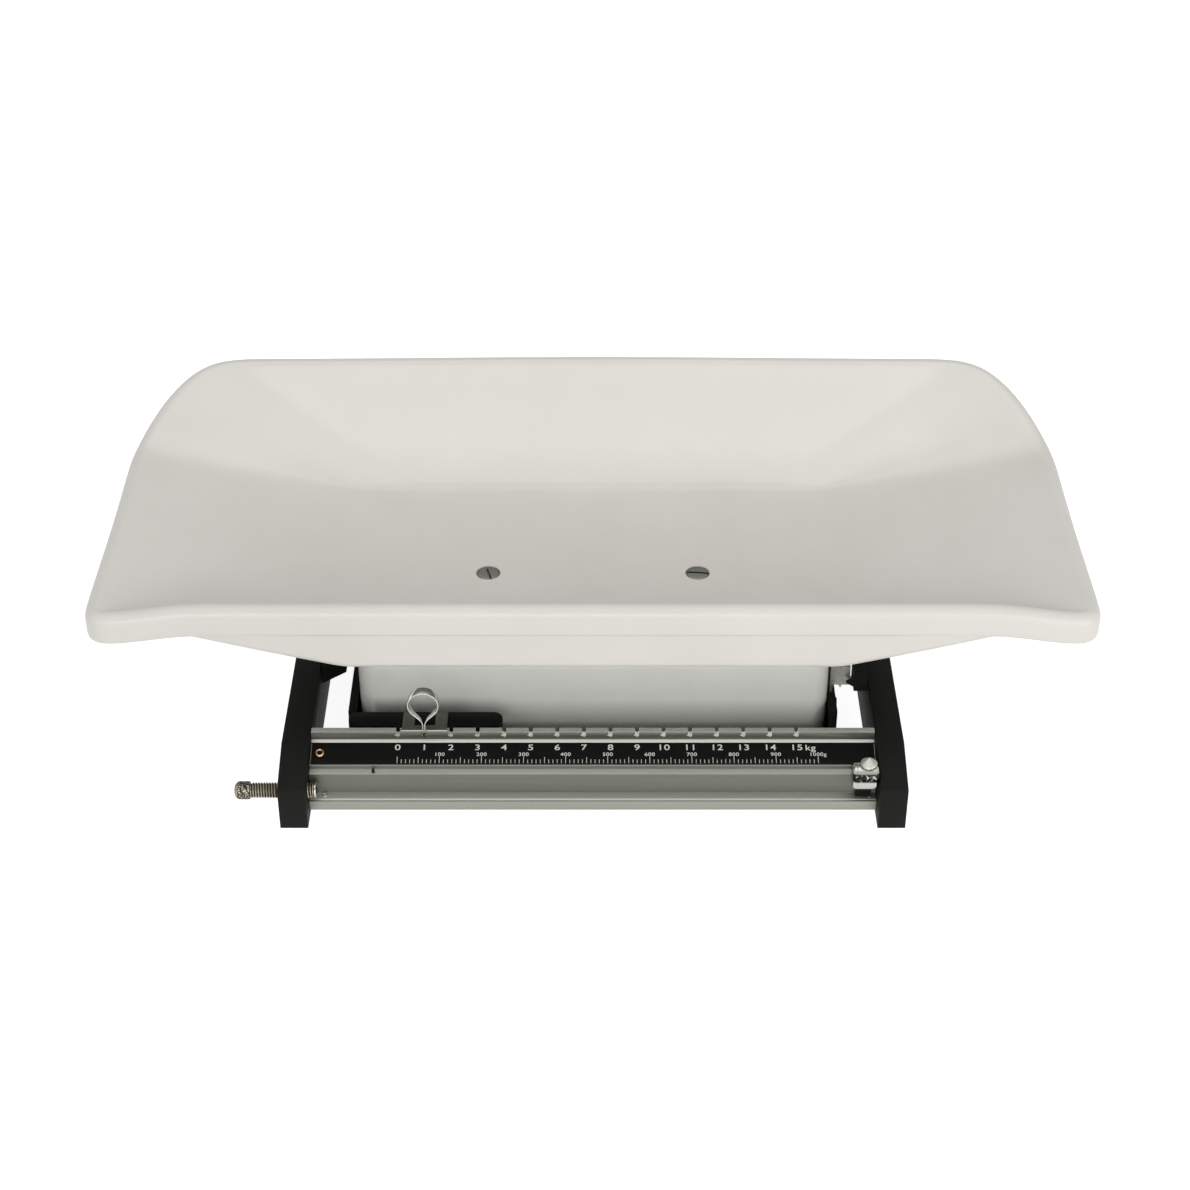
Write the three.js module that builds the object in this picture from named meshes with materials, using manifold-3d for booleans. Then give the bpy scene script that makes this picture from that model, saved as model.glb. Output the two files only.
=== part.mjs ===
// A mechanical baby scale: a white moulded tray carried by two weighing levers in a sheet steel base,
// and a U-shaped weighbeam whose grooved front rail carries a large and a small sliding poise.
// Millimetres. X runs along the beam, Y towards the back, Z up. Z = 0 is the ground under the feet.
// The assembly is built with Y = 0 at the front faces of the side arms, then centred on its own depth.

import * as THREE from "three";
import { mergeVertices } from "three/addons/utils/BufferGeometryUtils.js";
import Module from "manifold-3d";

const wasm = await Module();
wasm.setup();

// Clearances
const FIT = 0.3;
const BORE_FIT = 0.4;

// Tray
const TRAY_LENGTH = 550;
const TRAY_FRONT = 42;
const TRAY_BACK = 269;
const TRAY_WALL = 3;
const TRAY_FLOOR_TOP = 85;
const TRAY_FLOOR_THICKNESS = 4;
const FLOOR_LENGTH = 277;
const FLOOR_FRONT = 56;
const FLOOR_BACK = 228;
const FLOOR_FRONT_RADIUS = 8;
const FLOOR_BACK_RADIUS = 12;
const RIM_WIDTH = 9.5;
const RIM_FRONT_RADIUS = 10;
const RIM_BACK_RADIUS = 60.5;
const RIM_FRONT_TOP = 124.4;
const RIM_END_FRONT_TOP = 119;
const RIM_END_BACK_TOP = 123.4;
const RIM_BACK_TOP = 154.5;
const SKIRT_HEIGHT = 16.5;
const WALL_BOW = 0.16;
const WALL_SHARES = [0, 0.3, 0.65, 0.97];
const UNDERSIDE_SHARES = [0.86, 0.55, 0.25];
const TRAY_SCREW_SPACING = 121.6;
const TRAY_SCREW_Y = 138;
const TRAY_SCREW_HEAD_RADIUS = 6.6;
const TRAY_SCREW_SHANK_RADIUS = 2.9;
const TRAY_RECESS_RADIUS = 7.7;
const TRAY_RECESS_DEPTH = 2.6;

// Base
const FOOT_HEIGHT = 8;
const FOOT_RADIUS = 10;
const FOOT_INSET = 16;
const CHASSIS_WIDTH = 279;
const CHASSIS_FRONT = 67;
const CHASSIS_BACK = 221;
const CHASSIS_HEIGHT = 28;
const SHEET = 1.5;
const FLANGE_WIDTH = 5;
const PAN_FRONT_HEIGHT = 12;
const COVER_INSET = 6.5;
const COVER_HEIGHT = 62.5;
const COVER_WALL = 1.2;
const COVER_CORNER_RADIUS = 14;
const COVER_EDGE_RADIUS = 9;
const COVER_LIP_WIDTH = 7;
const COVER_SCREW_SPACING = 60;

// Side arms and weighbeam, laid out from the sides of the chassis
const ARM_GAP = 17.7;
const ARM_WIDTH = 15.5;
const ARM_BOTTOM = 8;
const ARM_FRONT_HEIGHT = 27;
const ARM_SLOPE_RUN = 31.3;
const ARM_SLOPE_RISE = 9.7;
const ARM_BACK = 236;
const ARM_SHEET = 1.6;
const CROSSBAR_DEPTH = 10;
const CROSSBAR_HEIGHT = 22;
const BEAM_WALL = 1.8;
const RAIL_TOP = 45.5;
const RAIL_FRONT = 38.3;
const RAIL_BACK = 42.6;
const NOTCH_PITCH = 14.8;
const NOTCH_COUNT = 16;
const NOTCH_WIDTH = 2.2;
const NOTCH_DEPTH = 3;
const NOTCH_START = 48.6;
const PLATE_THICKNESS = 0.8;

// Fulcrum and lever knives
const BEAM_FULCRUM_INSET = 34.5;
const BEAM_FULCRUM_Z = 20;
const BEAM_LOAD_ARM = 45;
const BEAM_LOAD_Z = 40;
const BOSS_INSET = 33;
const BOSS_SLANT = 11;
const LEVER_FULCRUM_INSET = 39.5;
const LEVER_LOAD_ARM = 25;
const LEVER_BOTTOM = 24;
const LEVER_THICKNESS = 4;
const KNIFE_HALF_WIDTH = 3;
const KNIFE_HEIGHT = 5;
const BEARING_WIDTH = 16;
const BEARING_LENGTH = 10;
const KNIFE_PLAY = 3;
const SWING_PLAY = 4;

// Poises
const POISE_NOTCH = 1;
const WEIGHT_LENGTH = 86.4;
const WEIGHT_THICKNESS = 11;
const WEIGHT_BOTTOM = 17;
const WEIGHT_TOP = 55.6;
const WEIGHT_CORNER = 3.6;
const SADDLE_WIDTH = 25;
const SADDLE_SHEET = 1.2;
const RING_RADIUS = 9;
const RING_STRIP = 1;
const RING_BAND = 6;
const RING_CENTRE_Z = 63.8;
const RING_OPENING = 0.902;
const RING_NECK_HALF = 1.4;
const RING_NECK_DROP = 12;
const RING_TIP_Z = 42.8;
const RING_TIP_HALF = 2.6;
const RING_TIP_SHOULDER = 4.6;
const SMALL_POISE_RADIUS = 7.5;
const SMALL_POISE_LENGTH = 14.5;
const SMALL_POISE_Y = 12.5;
const SMALL_POISE_Z = 35.5;
const SHOE_INSET = 3;
const SMALL_KNOB_RADIUS = 4.7;
const SMALL_KNOB_HEIGHT = 6.5;

// Zero adjuster
const ADJUSTER_Y = 11;
const ADJUSTER_Z = 26.5;
const THREAD_RADIUS = 4.5;
const THREAD_PITCH = 1.5;
const THREAD_OUTSIDE = 15.5;
const THREAD_INSIDE = 3.2;
const ADJUSTER_KNOB_RADIUS = 5.2;
const ADJUSTER_KNOB_LENGTH = 8.3;

// Beam section and what stands on it
const BEAM_FRONT = 10.5;
const BEAM_BOTTOM = 12.7;
const CHANNEL_FLOOR = 19.1;
const RIDGE_FRONT = 17.8;
const RIDGE_BACK = 22.5;
const RIDGE_TOP = 32.2;
const PLATE_LOW_Y = 23;
const PLATE_LOW_Z = 34.6;
const PLATE_HIGH_Y = 37.3;
const PLATE_HIGH_Z = 38.4;
const RAIL_FOOT = 39.6;
const STOP_PIN_RADIUS = 0.9;
const STOP_PIN_START = 35.7;
const STOP_PIN_Y = 19.6;
const EYELET_START = 5.4;

// Levers, links and platform
const LEVER_INSET = 23;
const LEVER_BAR_WIDTH = 12;
const LEVER_SPACING = 10;
const LEVER_HEAD_MARGIN = 10;
const LEVER_STRIP = 7;
const LEVER_CROSS_STRIP = 26;
const LEVER_GUSSET = 16;
const LINK_THICKNESS = 3;
const LINK_PLAY = 1.1;
const LINK_RIM = 1.6;
const LINK_END = 3.5;
const CARRIER_DEPTH = 52;
const CARRIER_THICKNESS = 3;
const CARRIER_WINDOW_LENGTH = 80;
const CARRIER_WINDOW_DEPTH = 24;
const CARRIER_MARGIN = 9;
const CARRIER_BEARING_INSET = 4;
const POST_RADIUS = 7;
const POST_FOOT = 3;
const POST_PLAY = 3;

// Index bracket and balance pointer
const BRACKET_SHEET = 1.5;
const BRACKET_FRONT = 88;
const BRACKET_DEPTH = 14;
const BRACKET_BOTTOM = 12;
const INDEX_WIDTH = 11.2;
const INDEX_TIP_REACH = 6;
const INDEX_TIP_RISE = 3;
const INDEX_STEP = 1.4;
const INDEX_STEP_RISE = 7;
const INDEX_SLANT_RISE = 12;
const INDEX_RISE = 18;
const LUG_DEPTH = 6;
const LUG_THICKNESS = 2;
const BRACKET_SCREW_SHANK = 1.6;
const BRACKET_SCREW_Z = 22;
const POINTER_BOTTOM = 39.6;
const POINTER_HEIGHT = 12.4;
const POINTER_LENGTH = 7.4;
const BEAM_SWING_AT_POINTER = 10.2;

// Derived places
const CHASSIS_BOTTOM = FOOT_HEIGHT;
const CHASSIS_TOP = CHASSIS_BOTTOM + CHASSIS_HEIGHT;
const CHASSIS_HALF = CHASSIS_WIDTH / 2;
const ARM_INNER = CHASSIS_HALF + ARM_GAP;
const ARM_OUTER = ARM_INNER + ARM_WIDTH;
const ARM_TOP = ARM_BOTTOM + ARM_FRONT_HEIGHT + ARM_SLOPE_RISE;
const BEAM_FULCRUM_X = -CHASSIS_HALF + BEAM_FULCRUM_INSET;
const BEAM_LOAD_X = BEAM_FULCRUM_X - BEAM_LOAD_ARM;
const LEVER_FULCRUM_X = CHASSIS_HALF - LEVER_FULCRUM_INSET;
const LEVER_LOAD_X = LEVER_FULCRUM_X - LEVER_LOAD_ARM;
const PAN_FLOOR = CHASSIS_BOTTOM + SHEET;
const COVER_HALF = CHASSIS_HALF - COVER_INSET;
const COVER_FRONT = CHASSIS_FRONT + COVER_INSET;
const COVER_BACK = CHASSIS_BACK - COVER_INSET;
const COVER_BOTTOM = PAN_FLOOR + FIT;
const COVER_TOP = COVER_BOTTOM + COVER_HEIGHT;
const TRAY_BOTTOM = TRAY_FLOOR_TOP - TRAY_FLOOR_THICKNESS;
const LEVER_TOP = LEVER_BOTTOM + LEVER_THICKNESS;
const UNDER_KNIFE_EDGE = LEVER_BOTTOM - FIT - KNIFE_HEIGHT;
const OVER_KNIFE_EDGE = LEVER_TOP + FIT + KNIFE_HEIGHT;
const BASE_MIDDLE_Y = (CHASSIS_FRONT + CHASSIS_BACK) / 2;
const LEVER_FRONT = CHASSIS_FRONT + LEVER_INSET;
const LONG_BACK = CHASSIS_BACK - LEVER_INSET;
const NOSE_FRONT = LONG_BACK - LEVER_BAR_WIDTH;
const SHORT_BACK = NOSE_FRONT - LEVER_SPACING;
const LINK_Y = NOSE_FRONT - (LEVER_SPACING + LINK_THICKNESS) / 2;
const BRACKET_FACE = CHASSIS_HALF - SHEET - FIT;
const BRACKET_INNER = BRACKET_FACE - BRACKET_SHEET;
const LUG_FRONT = BRACKET_FRONT + 5;
const LOWER_STOP = POINTER_BOTTOM - FIT;
const BRACKET_SCREW_Y = BRACKET_FRONT + 9;
const POINTER_TOP = POINTER_BOTTOM + POINTER_HEIGHT;
const POINTER_BLOCK_X = ARM_INNER - FIT - POINTER_LENGTH;
const UPPER_STOP = POINTER_TOP + BEAM_SWING_AT_POINTER;
const LUG_END = ARM_INNER - 2;
const NOTCH_ZERO_X = -ARM_INNER + NOTCH_START;
const NOTCH_X = NOTCH_ZERO_X + POISE_NOTCH * NOTCH_PITCH;
const STOP_PIN_X = -ARM_INNER + STOP_PIN_START;
const EYELET_X = -ARM_INNER + EYELET_START;
const SMALL_POISE_X = ARM_INNER - FIT - SMALL_POISE_LENGTH / 2;

const finish = (color, roughness, metalness) => ({ color, roughness, metalness });
const WHITE_PLASTIC = finish(0xe4e3df, 0.35, 0);
const WHITE_PAINT = finish(0xb4b5ab, 0.3, 0.1);
const BLACK_PAINT = finish(0x1b1b19, 0.45, 0.1);
const ALUMINIUM = finish(0xa8a8a0, 0.35, 0.9);
const GALVANISED = finish(0x8f908a, 0.45, 0.8);
const CHROME = finish(0xd8d8d8, 0.1, 1);
const NICKEL = finish(0xb5b0a4, 0.25, 1);
const BRASS = finish(0xb98a5a, 0.3, 1);
const HARD_STEEL = finish(0x77787a, 0.35, 1);
const LEVER_STEEL = finish(0x5d6063, 0.5, 0.8);
const RUBBER = finish(0x202020, 0.8, 0);
const PRINTED_BLACK = finish(0x232321, 0.5, 0.1);

const assembly = new THREE.Group();

function piece(group, name, geometry, look) {
  const mesh = new THREE.Mesh(geometry, new THREE.MeshStandardMaterial(look));
  mesh.name = name;
  group.add(mesh);
  return mesh;
}

function body(name) {
  const group = new THREE.Group();
  group.name = name;
  assembly.add(group);
  return group;
}

// Closed geometry to a solid and back, for joins and cuts.
function solidOf(geometry) {
  const bare = geometry.clone();
  bare.deleteAttribute("normal");
  bare.deleteAttribute("uv");
  const merged = mergeVertices(bare, 1e-4);
  return new wasm.Manifold(
    new wasm.Mesh({
      numProp: 3,
      vertProperties: merged.attributes.position.array,
      triVerts: new Uint32Array(merged.index.array),
    }),
  );
}

function geometryOf(solid) {
  const mesh = solid.getMesh();
  const geometry = new THREE.BufferGeometry();
  geometry.setAttribute("position", new THREE.BufferAttribute(mesh.vertProperties, 3));
  geometry.setIndex(new THREE.BufferAttribute(mesh.triVerts, 1));
  geometry.computeVertexNormals();
  return geometry;
}

function cut(geometry, ...tools) {
  const left = tools.reduce((solid, tool) => solid.subtract(solidOf(tool)), solidOf(geometry));
  return geometryOf(left);
}

function join(geometry, ...others) {
  const whole = others.reduce((solid, other) => solid.add(solidOf(other)), solidOf(geometry));
  return geometryOf(whole);
}

// Basic forms, placed by their limits.
function block(x0, x1, y0, y1, z0, z1) {
  const geometry = new THREE.BoxGeometry(x1 - x0, y1 - y0, z1 - z0);
  return geometry.translate((x0 + x1) / 2, (y0 + y1) / 2, (z0 + z1) / 2);
}

function outlineShape(points) {
  return new THREE.Shape(points.map(([a, b]) => new THREE.Vector2(a, b)));
}

// A section in Y and Z, drawn out along X.
function alongX(points, x0, x1) {
  const geometry = new THREE.ExtrudeGeometry(outlineShape(points), { depth: x1 - x0, bevelEnabled: false });
  return geometry.rotateX(Math.PI / 2).rotateZ(Math.PI / 2).translate(x0, 0, 0);
}

// An outline in X and Z, drawn out along Y.
function alongY(shape, y0, y1) {
  const drawn = Array.isArray(shape) ? outlineShape(shape) : shape;
  const options = { depth: y1 - y0, bevelEnabled: false, curveSegments: 10 };
  const geometry = new THREE.ExtrudeGeometry(drawn, options);
  return geometry.rotateX(Math.PI / 2).translate(0, y1, 0);
}

// An outline in X and Y, drawn up along Z.
function alongZ(points, z0, z1) {
  const geometry = new THREE.ExtrudeGeometry(outlineShape(points), { depth: z1 - z0, bevelEnabled: false });
  return geometry.translate(0, 0, z0);
}

// A turned form about a vertical axis, from [radius, height] points that start and end on the axis.
function turned(points, sides, x, y) {
  const geometry = new THREE.LatheGeometry(points.map(([r, z]) => new THREE.Vector2(r, z)), sides);
  return geometry.rotateX(Math.PI / 2).translate(x, y, 0);
}

// The same about an axis along X, with heights measured along +X.
function turnedX(points, sides, y, z) {
  const geometry = new THREE.LatheGeometry(points.map(([r, x]) => new THREE.Vector2(r, x)), sides);
  return geometry.rotateZ(-Math.PI / 2).translate(0, y, z);
}

function pillar(radius, z0, z1, x, y, sides = 20) {
  return turned([[0, z0], [radius, z0], [radius, z1], [0, z1]], sides, x, y);
}

function rodX(radius, x0, x1, y, z, sides = 20) {
  return turnedX([[0, x0], [radius, x0], [radius, x1], [0, x1]], sides, y, z);
}

// A rectangle with its corners rounded, and its top edges too, standing from z0 to z1.
function softBox(half, y0, y1, z0, z1, corner, edge) {
  const shape = new THREE.Shape();
  const top = y1 - y0;
  shape.moveTo(-half + corner, 0);
  shape.lineTo(half - corner, 0);
  shape.absarc(half - corner, corner, corner, -Math.PI / 2, 0);
  shape.lineTo(half, top - corner);
  shape.absarc(half - corner, top - corner, corner, 0, Math.PI / 2);
  shape.lineTo(-half + corner, top);
  shape.absarc(-half + corner, top - corner, corner, Math.PI / 2, Math.PI);
  shape.lineTo(-half, corner);
  shape.absarc(-half + corner, corner, corner, Math.PI, Math.PI * 1.5);
  const geometry = new THREE.ExtrudeGeometry(shape, {
    depth: z1 - z0,
    bevelThickness: edge,
    bevelSize: edge,
    bevelOffset: -edge,
    bevelSegments: 4,
    curveSegments: 5,
  });
  geometry.translate(0, y0, z0 - edge);
  return cut(geometry, block(-2 * half, 2 * half, y0 - top, y1 + top, z0 - 3 * edge, z0));
}

// A knife: a hardened three-sided bar along Y, its edge up or down.
function knife(x, y0, y1, edgeZ, edgeUp, grow = 0) {
  const base = edgeZ + (edgeUp ? -KNIFE_HEIGHT - grow : KNIFE_HEIGHT + grow);
  const edge = edgeZ + (edgeUp ? grow : -grow);
  const half = KNIFE_HALF_WIDTH + grow;
  const corners = [[x - half, base], [x, edge], [x + half, base]];
  return alongY(edgeUp ? corners.reverse() : corners, y0, y1);
}

// A bearing under a knife: a post with a V groove that leaves the knife free to rock.
function bearing(x, y0, y1, bottom, edgeZ) {
  const seat = edgeZ - FIT;
  const wide = KNIFE_HALF_WIDTH + 2;
  const half = BEARING_WIDTH / 2;
  const section = [
    [x - half, bottom], [x + half, bottom], [x + half, seat + KNIFE_HEIGHT],
    [x + wide, seat + KNIFE_HEIGHT], [x, seat], [x - wide, seat + KNIFE_HEIGHT],
    [x - half, seat + KNIFE_HEIGHT],
  ];
  return alongY(section, y0, y1);
}

const smooth = (low, high, value) => THREE.MathUtils.smoothstep(value, low, high);

// Half of the tray's outline from the middle of the front to the middle of the back, then its mirror.
function trayOutline(halfX, front, back, frontRadius, backRadius) {
  const half = [];
  const line = (x0, y0, x1, y1, steps) => {
    for (let i = 0; i < steps; i++) {
      half.push([x0 + ((x1 - x0) * i) / steps, y0 + ((y1 - y0) * i) / steps]);
    }
  };
  const arc = (radius, cy, start, steps) => {
    for (let i = 0; i < steps; i++) {
      const angle = start + ((Math.PI / 2) * i) / steps;
      half.push([halfX - radius + radius * Math.cos(angle), cy + radius * Math.sin(angle)]);
    }
  };
  line(0, front, halfX - frontRadius, front, 6);
  arc(frontRadius, front + frontRadius, -Math.PI / 2, 3);
  line(halfX, front + frontRadius, halfX, back - backRadius, 4);
  arc(backRadius, back - backRadius, 0, 8);
  line(halfX - backRadius, back, 0, back, 4);
  const mirrored = half.slice(1).reverse().map(([x, y]) => [-x, y]);
  return [...half, [0, back], ...mirrored];
}

// The rim dips a little at the front corners and climbs round the back corners to the high back.
function rimHeight(x, y, halfX, front, back) {
  const centre = back - RIM_BACK_RADIUS;
  const turn = Math.asin(THREE.MathUtils.clamp((y - centre) / RIM_BACK_RADIUS, 0, 1));
  const end = THREE.MathUtils.lerp(
    RIM_END_FRONT_TOP,
    RIM_END_BACK_TOP,
    smooth(front, centre, y),
  );
  const nearCorner = smooth(halfX - 50, halfX - 2, Math.abs(x));
  const frontTop = THREE.MathUtils.lerp(RIM_FRONT_TOP, RIM_END_FRONT_TOP, nearCorner);
  const side = y < front + 1 ? frontTop : end;
  return THREE.MathUtils.lerp(side, RIM_BACK_TOP, smooth(0.09, 1.26, turn));
}

// The tray is lofted through closed rings: up the inside, over the rolled rim, down the skirt, and
// back under the wall to the bottom.
function trayShell() {
  const halfX = TRAY_LENGTH / 2 - RIM_WIDTH;
  const front = TRAY_FRONT + RIM_WIDTH;
  const back = TRAY_BACK - RIM_WIDTH;
  const floor = trayOutline(
    FLOOR_LENGTH / 2, FLOOR_FRONT, FLOOR_BACK, FLOOR_FRONT_RADIUS, FLOOR_BACK_RADIUS,
  );
  const rim = trayOutline(halfX, front, back, RIM_FRONT_RADIUS, RIM_BACK_RADIUS);
  const count = rim.length;
  const heights = rim.map(([x, y]) => rimHeight(x, y, halfX, front, back));
  const outward = rim.map((point, i) => {
    const [ax, ay] = rim[(i + count - 1) % count];
    const [bx, by] = rim[(i + 1) % count];
    return new THREE.Vector2(by - ay, ax - bx).normalize();
  });
  const inner = (i, share) => {
    const bowed = share + WALL_BOW * share * (share - 1);
    return new THREE.Vector3(
      THREE.MathUtils.lerp(floor[i][0], rim[i][0], share),
      THREE.MathUtils.lerp(floor[i][1], rim[i][1], share),
      THREE.MathUtils.lerp(TRAY_FLOOR_TOP, heights[i], bowed),
    );
  };
  const outer = (i, share) => {
    const here = inner(i, share);
    const up = inner(i, share + 0.02).sub(inner(i, share - 0.02));
    const along = inner((i + 1) % count, share).sub(inner((i + count - 1) % count, share));
    return here.sub(along.cross(up).normalize().multiplyScalar(-TRAY_WALL));
  };
  const edge = (i, out, drop) => new THREE.Vector3(
    rim[i][0] + outward[i].x * out,
    rim[i][1] + outward[i].y * out,
    heights[i] + drop,
  );
  const rimSection = [
    [RIM_WIDTH * 0.3, 0], [RIM_WIDTH * 0.7, -0.4], [RIM_WIDTH * 0.95, -3], [RIM_WIDTH, -SKIRT_HEIGHT],
    [RIM_WIDTH - TRAY_WALL + 0.6, -SKIRT_HEIGHT], [RIM_WIDTH - TRAY_WALL, -5],
    [TRAY_WALL + 1.4, -TRAY_WALL - 1],
  ];
  const rings = [
    ...WALL_SHARES.map((share) => (i) => inner(i, share)),
    ...rimSection.map(([out, drop]) => (i) => edge(i, out, drop)),
    ...UNDERSIDE_SHARES.map((share) => (i) => outer(i, share)),
    (i) => new THREE.Vector3(floor[i][0], floor[i][1], TRAY_BOTTOM),
  ];
  const middle = (FLOOR_FRONT + FLOOR_BACK) / 2;
  const positions = [0, middle, TRAY_FLOOR_TOP, 0, middle, TRAY_BOTTOM];
  for (const ring of rings) {
    for (let i = 0; i < count; i++) positions.push(...ring(i).toArray());
  }
  const at = (ring, i) => 2 + ring * count + (i % count);
  const last = rings.length - 1;
  const faces = [];
  for (let i = 0; i < count; i++) {
    faces.push(0, at(0, i), at(0, i + 1), 1, at(last, i + 1), at(last, i));
    for (let r = 0; r < last; r++) {
      faces.push(at(r, i), at(r + 1, i), at(r + 1, i + 1), at(r, i), at(r + 1, i + 1), at(r, i + 1));
    }
  }
  const geometry = new THREE.BufferGeometry();
  geometry.setAttribute("position", new THREE.Float32BufferAttribute(positions, 3));
  geometry.setIndex(faces);
  return geometry;
}

// Base: a black steel pan with high sides on rubber feet. A pressed white cover stands in it, over the
// levers.
function buildBase() {
  const base = body("base");
  const footX = CHASSIS_HALF - FOOT_INSET;
  const footY = [CHASSIS_FRONT + FOOT_INSET, CHASSIS_BACK - FOOT_INSET];
  const stem = 2.5;
  const stemHead = 3.9;
  const coverScrewX = COVER_HALF - (COVER_WALL + COVER_LIP_WIDTH) / 2;
  const coverScrewY = [-1, 1].map((side) => BASE_MIDDLE_Y + (side * COVER_SCREW_SPACING) / 2);
  const shank = 1.7;
  const corners = [-1, 1].flatMap((side) => footY.map((y) => [side * footX, y]));
  const coverScrews = [-1, 1].flatMap((side) => coverScrewY.map((y) => [side * coverScrewX, y]));

  const shell = softBox(CHASSIS_HALF, CHASSIS_FRONT, CHASSIS_BACK, CHASSIS_BOTTOM, CHASSIS_TOP, 4, 1.2);
  const insideFront = CHASSIS_FRONT + SHEET;
  const insideBack = CHASSIS_BACK - SHEET;
  const pan = cut(
    shell,
    block(
      -CHASSIS_HALF + SHEET, CHASSIS_HALF - SHEET, insideFront, insideBack, PAN_FLOOR, CHASSIS_TOP - SHEET,
    ),
    block(
      -CHASSIS_HALF + FLANGE_WIDTH, CHASSIS_HALF - FLANGE_WIDTH, CHASSIS_FRONT - 1, CHASSIS_BACK + 1,
      CHASSIS_BOTTOM + PAN_FRONT_HEIGHT, CHASSIS_TOP + 1,
    ),
    knifeSlot(CHASSIS_FRONT - 1, insideFront + 1),
    knifeSlot(insideBack - 1, CHASSIS_BACK + 1),
    noseSlot(-CHASSIS_HALF - 1, -CHASSIS_HALF + SHEET + 1),
    block(
      CHASSIS_HALF - FLANGE_WIDTH - 1, BRACKET_FACE + FIT,
      BRACKET_FRONT - FIT, BRACKET_FRONT + BRACKET_DEPTH + FIT, CHASSIS_TOP - SHEET - 1, CHASSIS_TOP + 1,
    ),
    block(
      BRACKET_FACE, CHASSIS_HALF + 1, LUG_FRONT - FIT, LUG_FRONT + LUG_DEPTH + FIT,
      LOWER_STOP - LUG_THICKNESS - FIT, Math.max(LOWER_STOP, CHASSIS_TOP) + 1,
    ),
    ...corners.map(([x, y]) => pillar(stem + FIT, CHASSIS_BOTTOM - 1, PAN_FLOOR + 1, x, y, 12)),
    ...coverScrews.map(([x, y]) => pillar(shank + FIT, CHASSIS_BOTTOM - 1, PAN_FLOOR + 1, x, y, 12)),
    rodX(
      BRACKET_SCREW_SHANK + FIT, CHASSIS_HALF - SHEET - 1, CHASSIS_HALF + 1,
      BRACKET_SCREW_Y, BRACKET_SCREW_Z, 12,
    ),
  );
  piece(base, "chassis_pan", pan, BLACK_PAINT);

  const outside = softBox(
    COVER_HALF, COVER_FRONT, COVER_BACK, COVER_BOTTOM, COVER_TOP, COVER_CORNER_RADIUS, COVER_EDGE_RADIUS,
  );
  const hollow = softBox(
    COVER_HALF - COVER_WALL, COVER_FRONT + COVER_WALL, COVER_BACK - COVER_WALL,
    COVER_BOTTOM + COVER_WALL, COVER_TOP - COVER_WALL,
    COVER_CORNER_RADIUS - COVER_WALL, COVER_EDGE_RADIUS - COVER_WALL,
  );
  const mouth = block(
    -COVER_HALF + COVER_LIP_WIDTH, COVER_HALF - COVER_LIP_WIDTH,
    COVER_FRONT + COVER_LIP_WIDTH, COVER_BACK - COVER_LIP_WIDTH,
    COVER_BOTTOM - 1, COVER_BOTTOM + COVER_WALL + 1,
  );
  const cover = cut(
    outside, hollow, mouth,
    bearingGap(COVER_FRONT - 1, COVER_FRONT + COVER_LIP_WIDTH + 1),
    bearingGap(COVER_BACK - COVER_LIP_WIDTH - 1, COVER_BACK + 1),
    noseSlot(-COVER_HALF - 1, -COVER_HALF + COVER_WALL + 1),
    ...corners.map(([x, y]) => (
      pillar(stemHead + FIT, COVER_BOTTOM - 1, COVER_BOTTOM + COVER_WALL + 1, x, y, 12)
    )),
    ...[-1, 1].map((side) => pillar(
      POST_RADIUS + POST_PLAY, COVER_TOP - COVER_WALL - 1, COVER_TOP + 1,
      side * TRAY_SCREW_SPACING / 2, TRAY_SCREW_Y, 24,
    )),
    ...coverScrews.map(([x, y]) => (
      pillar(shank + FIT, COVER_BOTTOM - 1, COVER_BOTTOM + COVER_WALL + 1, x, y, 12)
    )),
  );
  piece(base, "base_cover", cover, WHITE_PAINT);

  corners.forEach(([x, y], i) => {
    const profile = [
      [0, 0], [FOOT_RADIUS - 1.5, 0], [FOOT_RADIUS - 0.5, 1], [FOOT_RADIUS, FOOT_HEIGHT - FIT],
      [stem, FOOT_HEIGHT - FIT], [stem, PAN_FLOOR + FIT], [stemHead, PAN_FLOOR + FIT],
      [stem - 0.8, PAN_FLOOR + 2.4], [0, PAN_FLOOR + 2.4],
    ];
    piece(base, "foot_" + (i + 1), turned(profile, 20, x, y), RUBBER);
  });
  coverScrews.forEach(([x, y], i) => {
    const under = CHASSIS_BOTTOM - FIT;
    const profile = [
      [0, under - 2], [2.6, under - 2], [3.4, under - 1.2], [3.4, under], [shank, under],
      [shank, COVER_BOTTOM + COVER_WALL + 2.5], [0, COVER_BOTTOM + COVER_WALL + 3.5],
    ];
    piece(base, "cover_screw_" + (i + 1), turned(profile, 12, x, y), NICKEL);
  });

  const stand = (name, x, y0, y1, edgeZ) => {
    piece(base, name, bearing(x, y0, y1, PAN_FLOOR + FIT, edgeZ), HARD_STEEL);
  };
  const beamBearing = BEARING_LENGTH - 1;
  stand("beam_bearing_front", BEAM_FULCRUM_X, insideFront + FIT, insideFront + beamBearing, BEAM_FULCRUM_Z);
  stand("beam_bearing_rear", BEAM_FULCRUM_X, insideBack - beamBearing, insideBack - FIT, BEAM_FULCRUM_Z);
  const levers = [
    ["long_lever", LEVER_FULCRUM_X, LONG_BACK],
    ["short_lever", -LEVER_FULCRUM_X, SHORT_BACK],
  ];
  levers.forEach(([name, x, back]) => {
    stand(name + "_bearing_front", x, LEVER_FRONT, LEVER_FRONT + BEARING_LENGTH, UNDER_KNIFE_EDGE);
    stand(name + "_bearing_rear", x, back - BEARING_LENGTH, back, UNDER_KNIFE_EDGE);
  });

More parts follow.
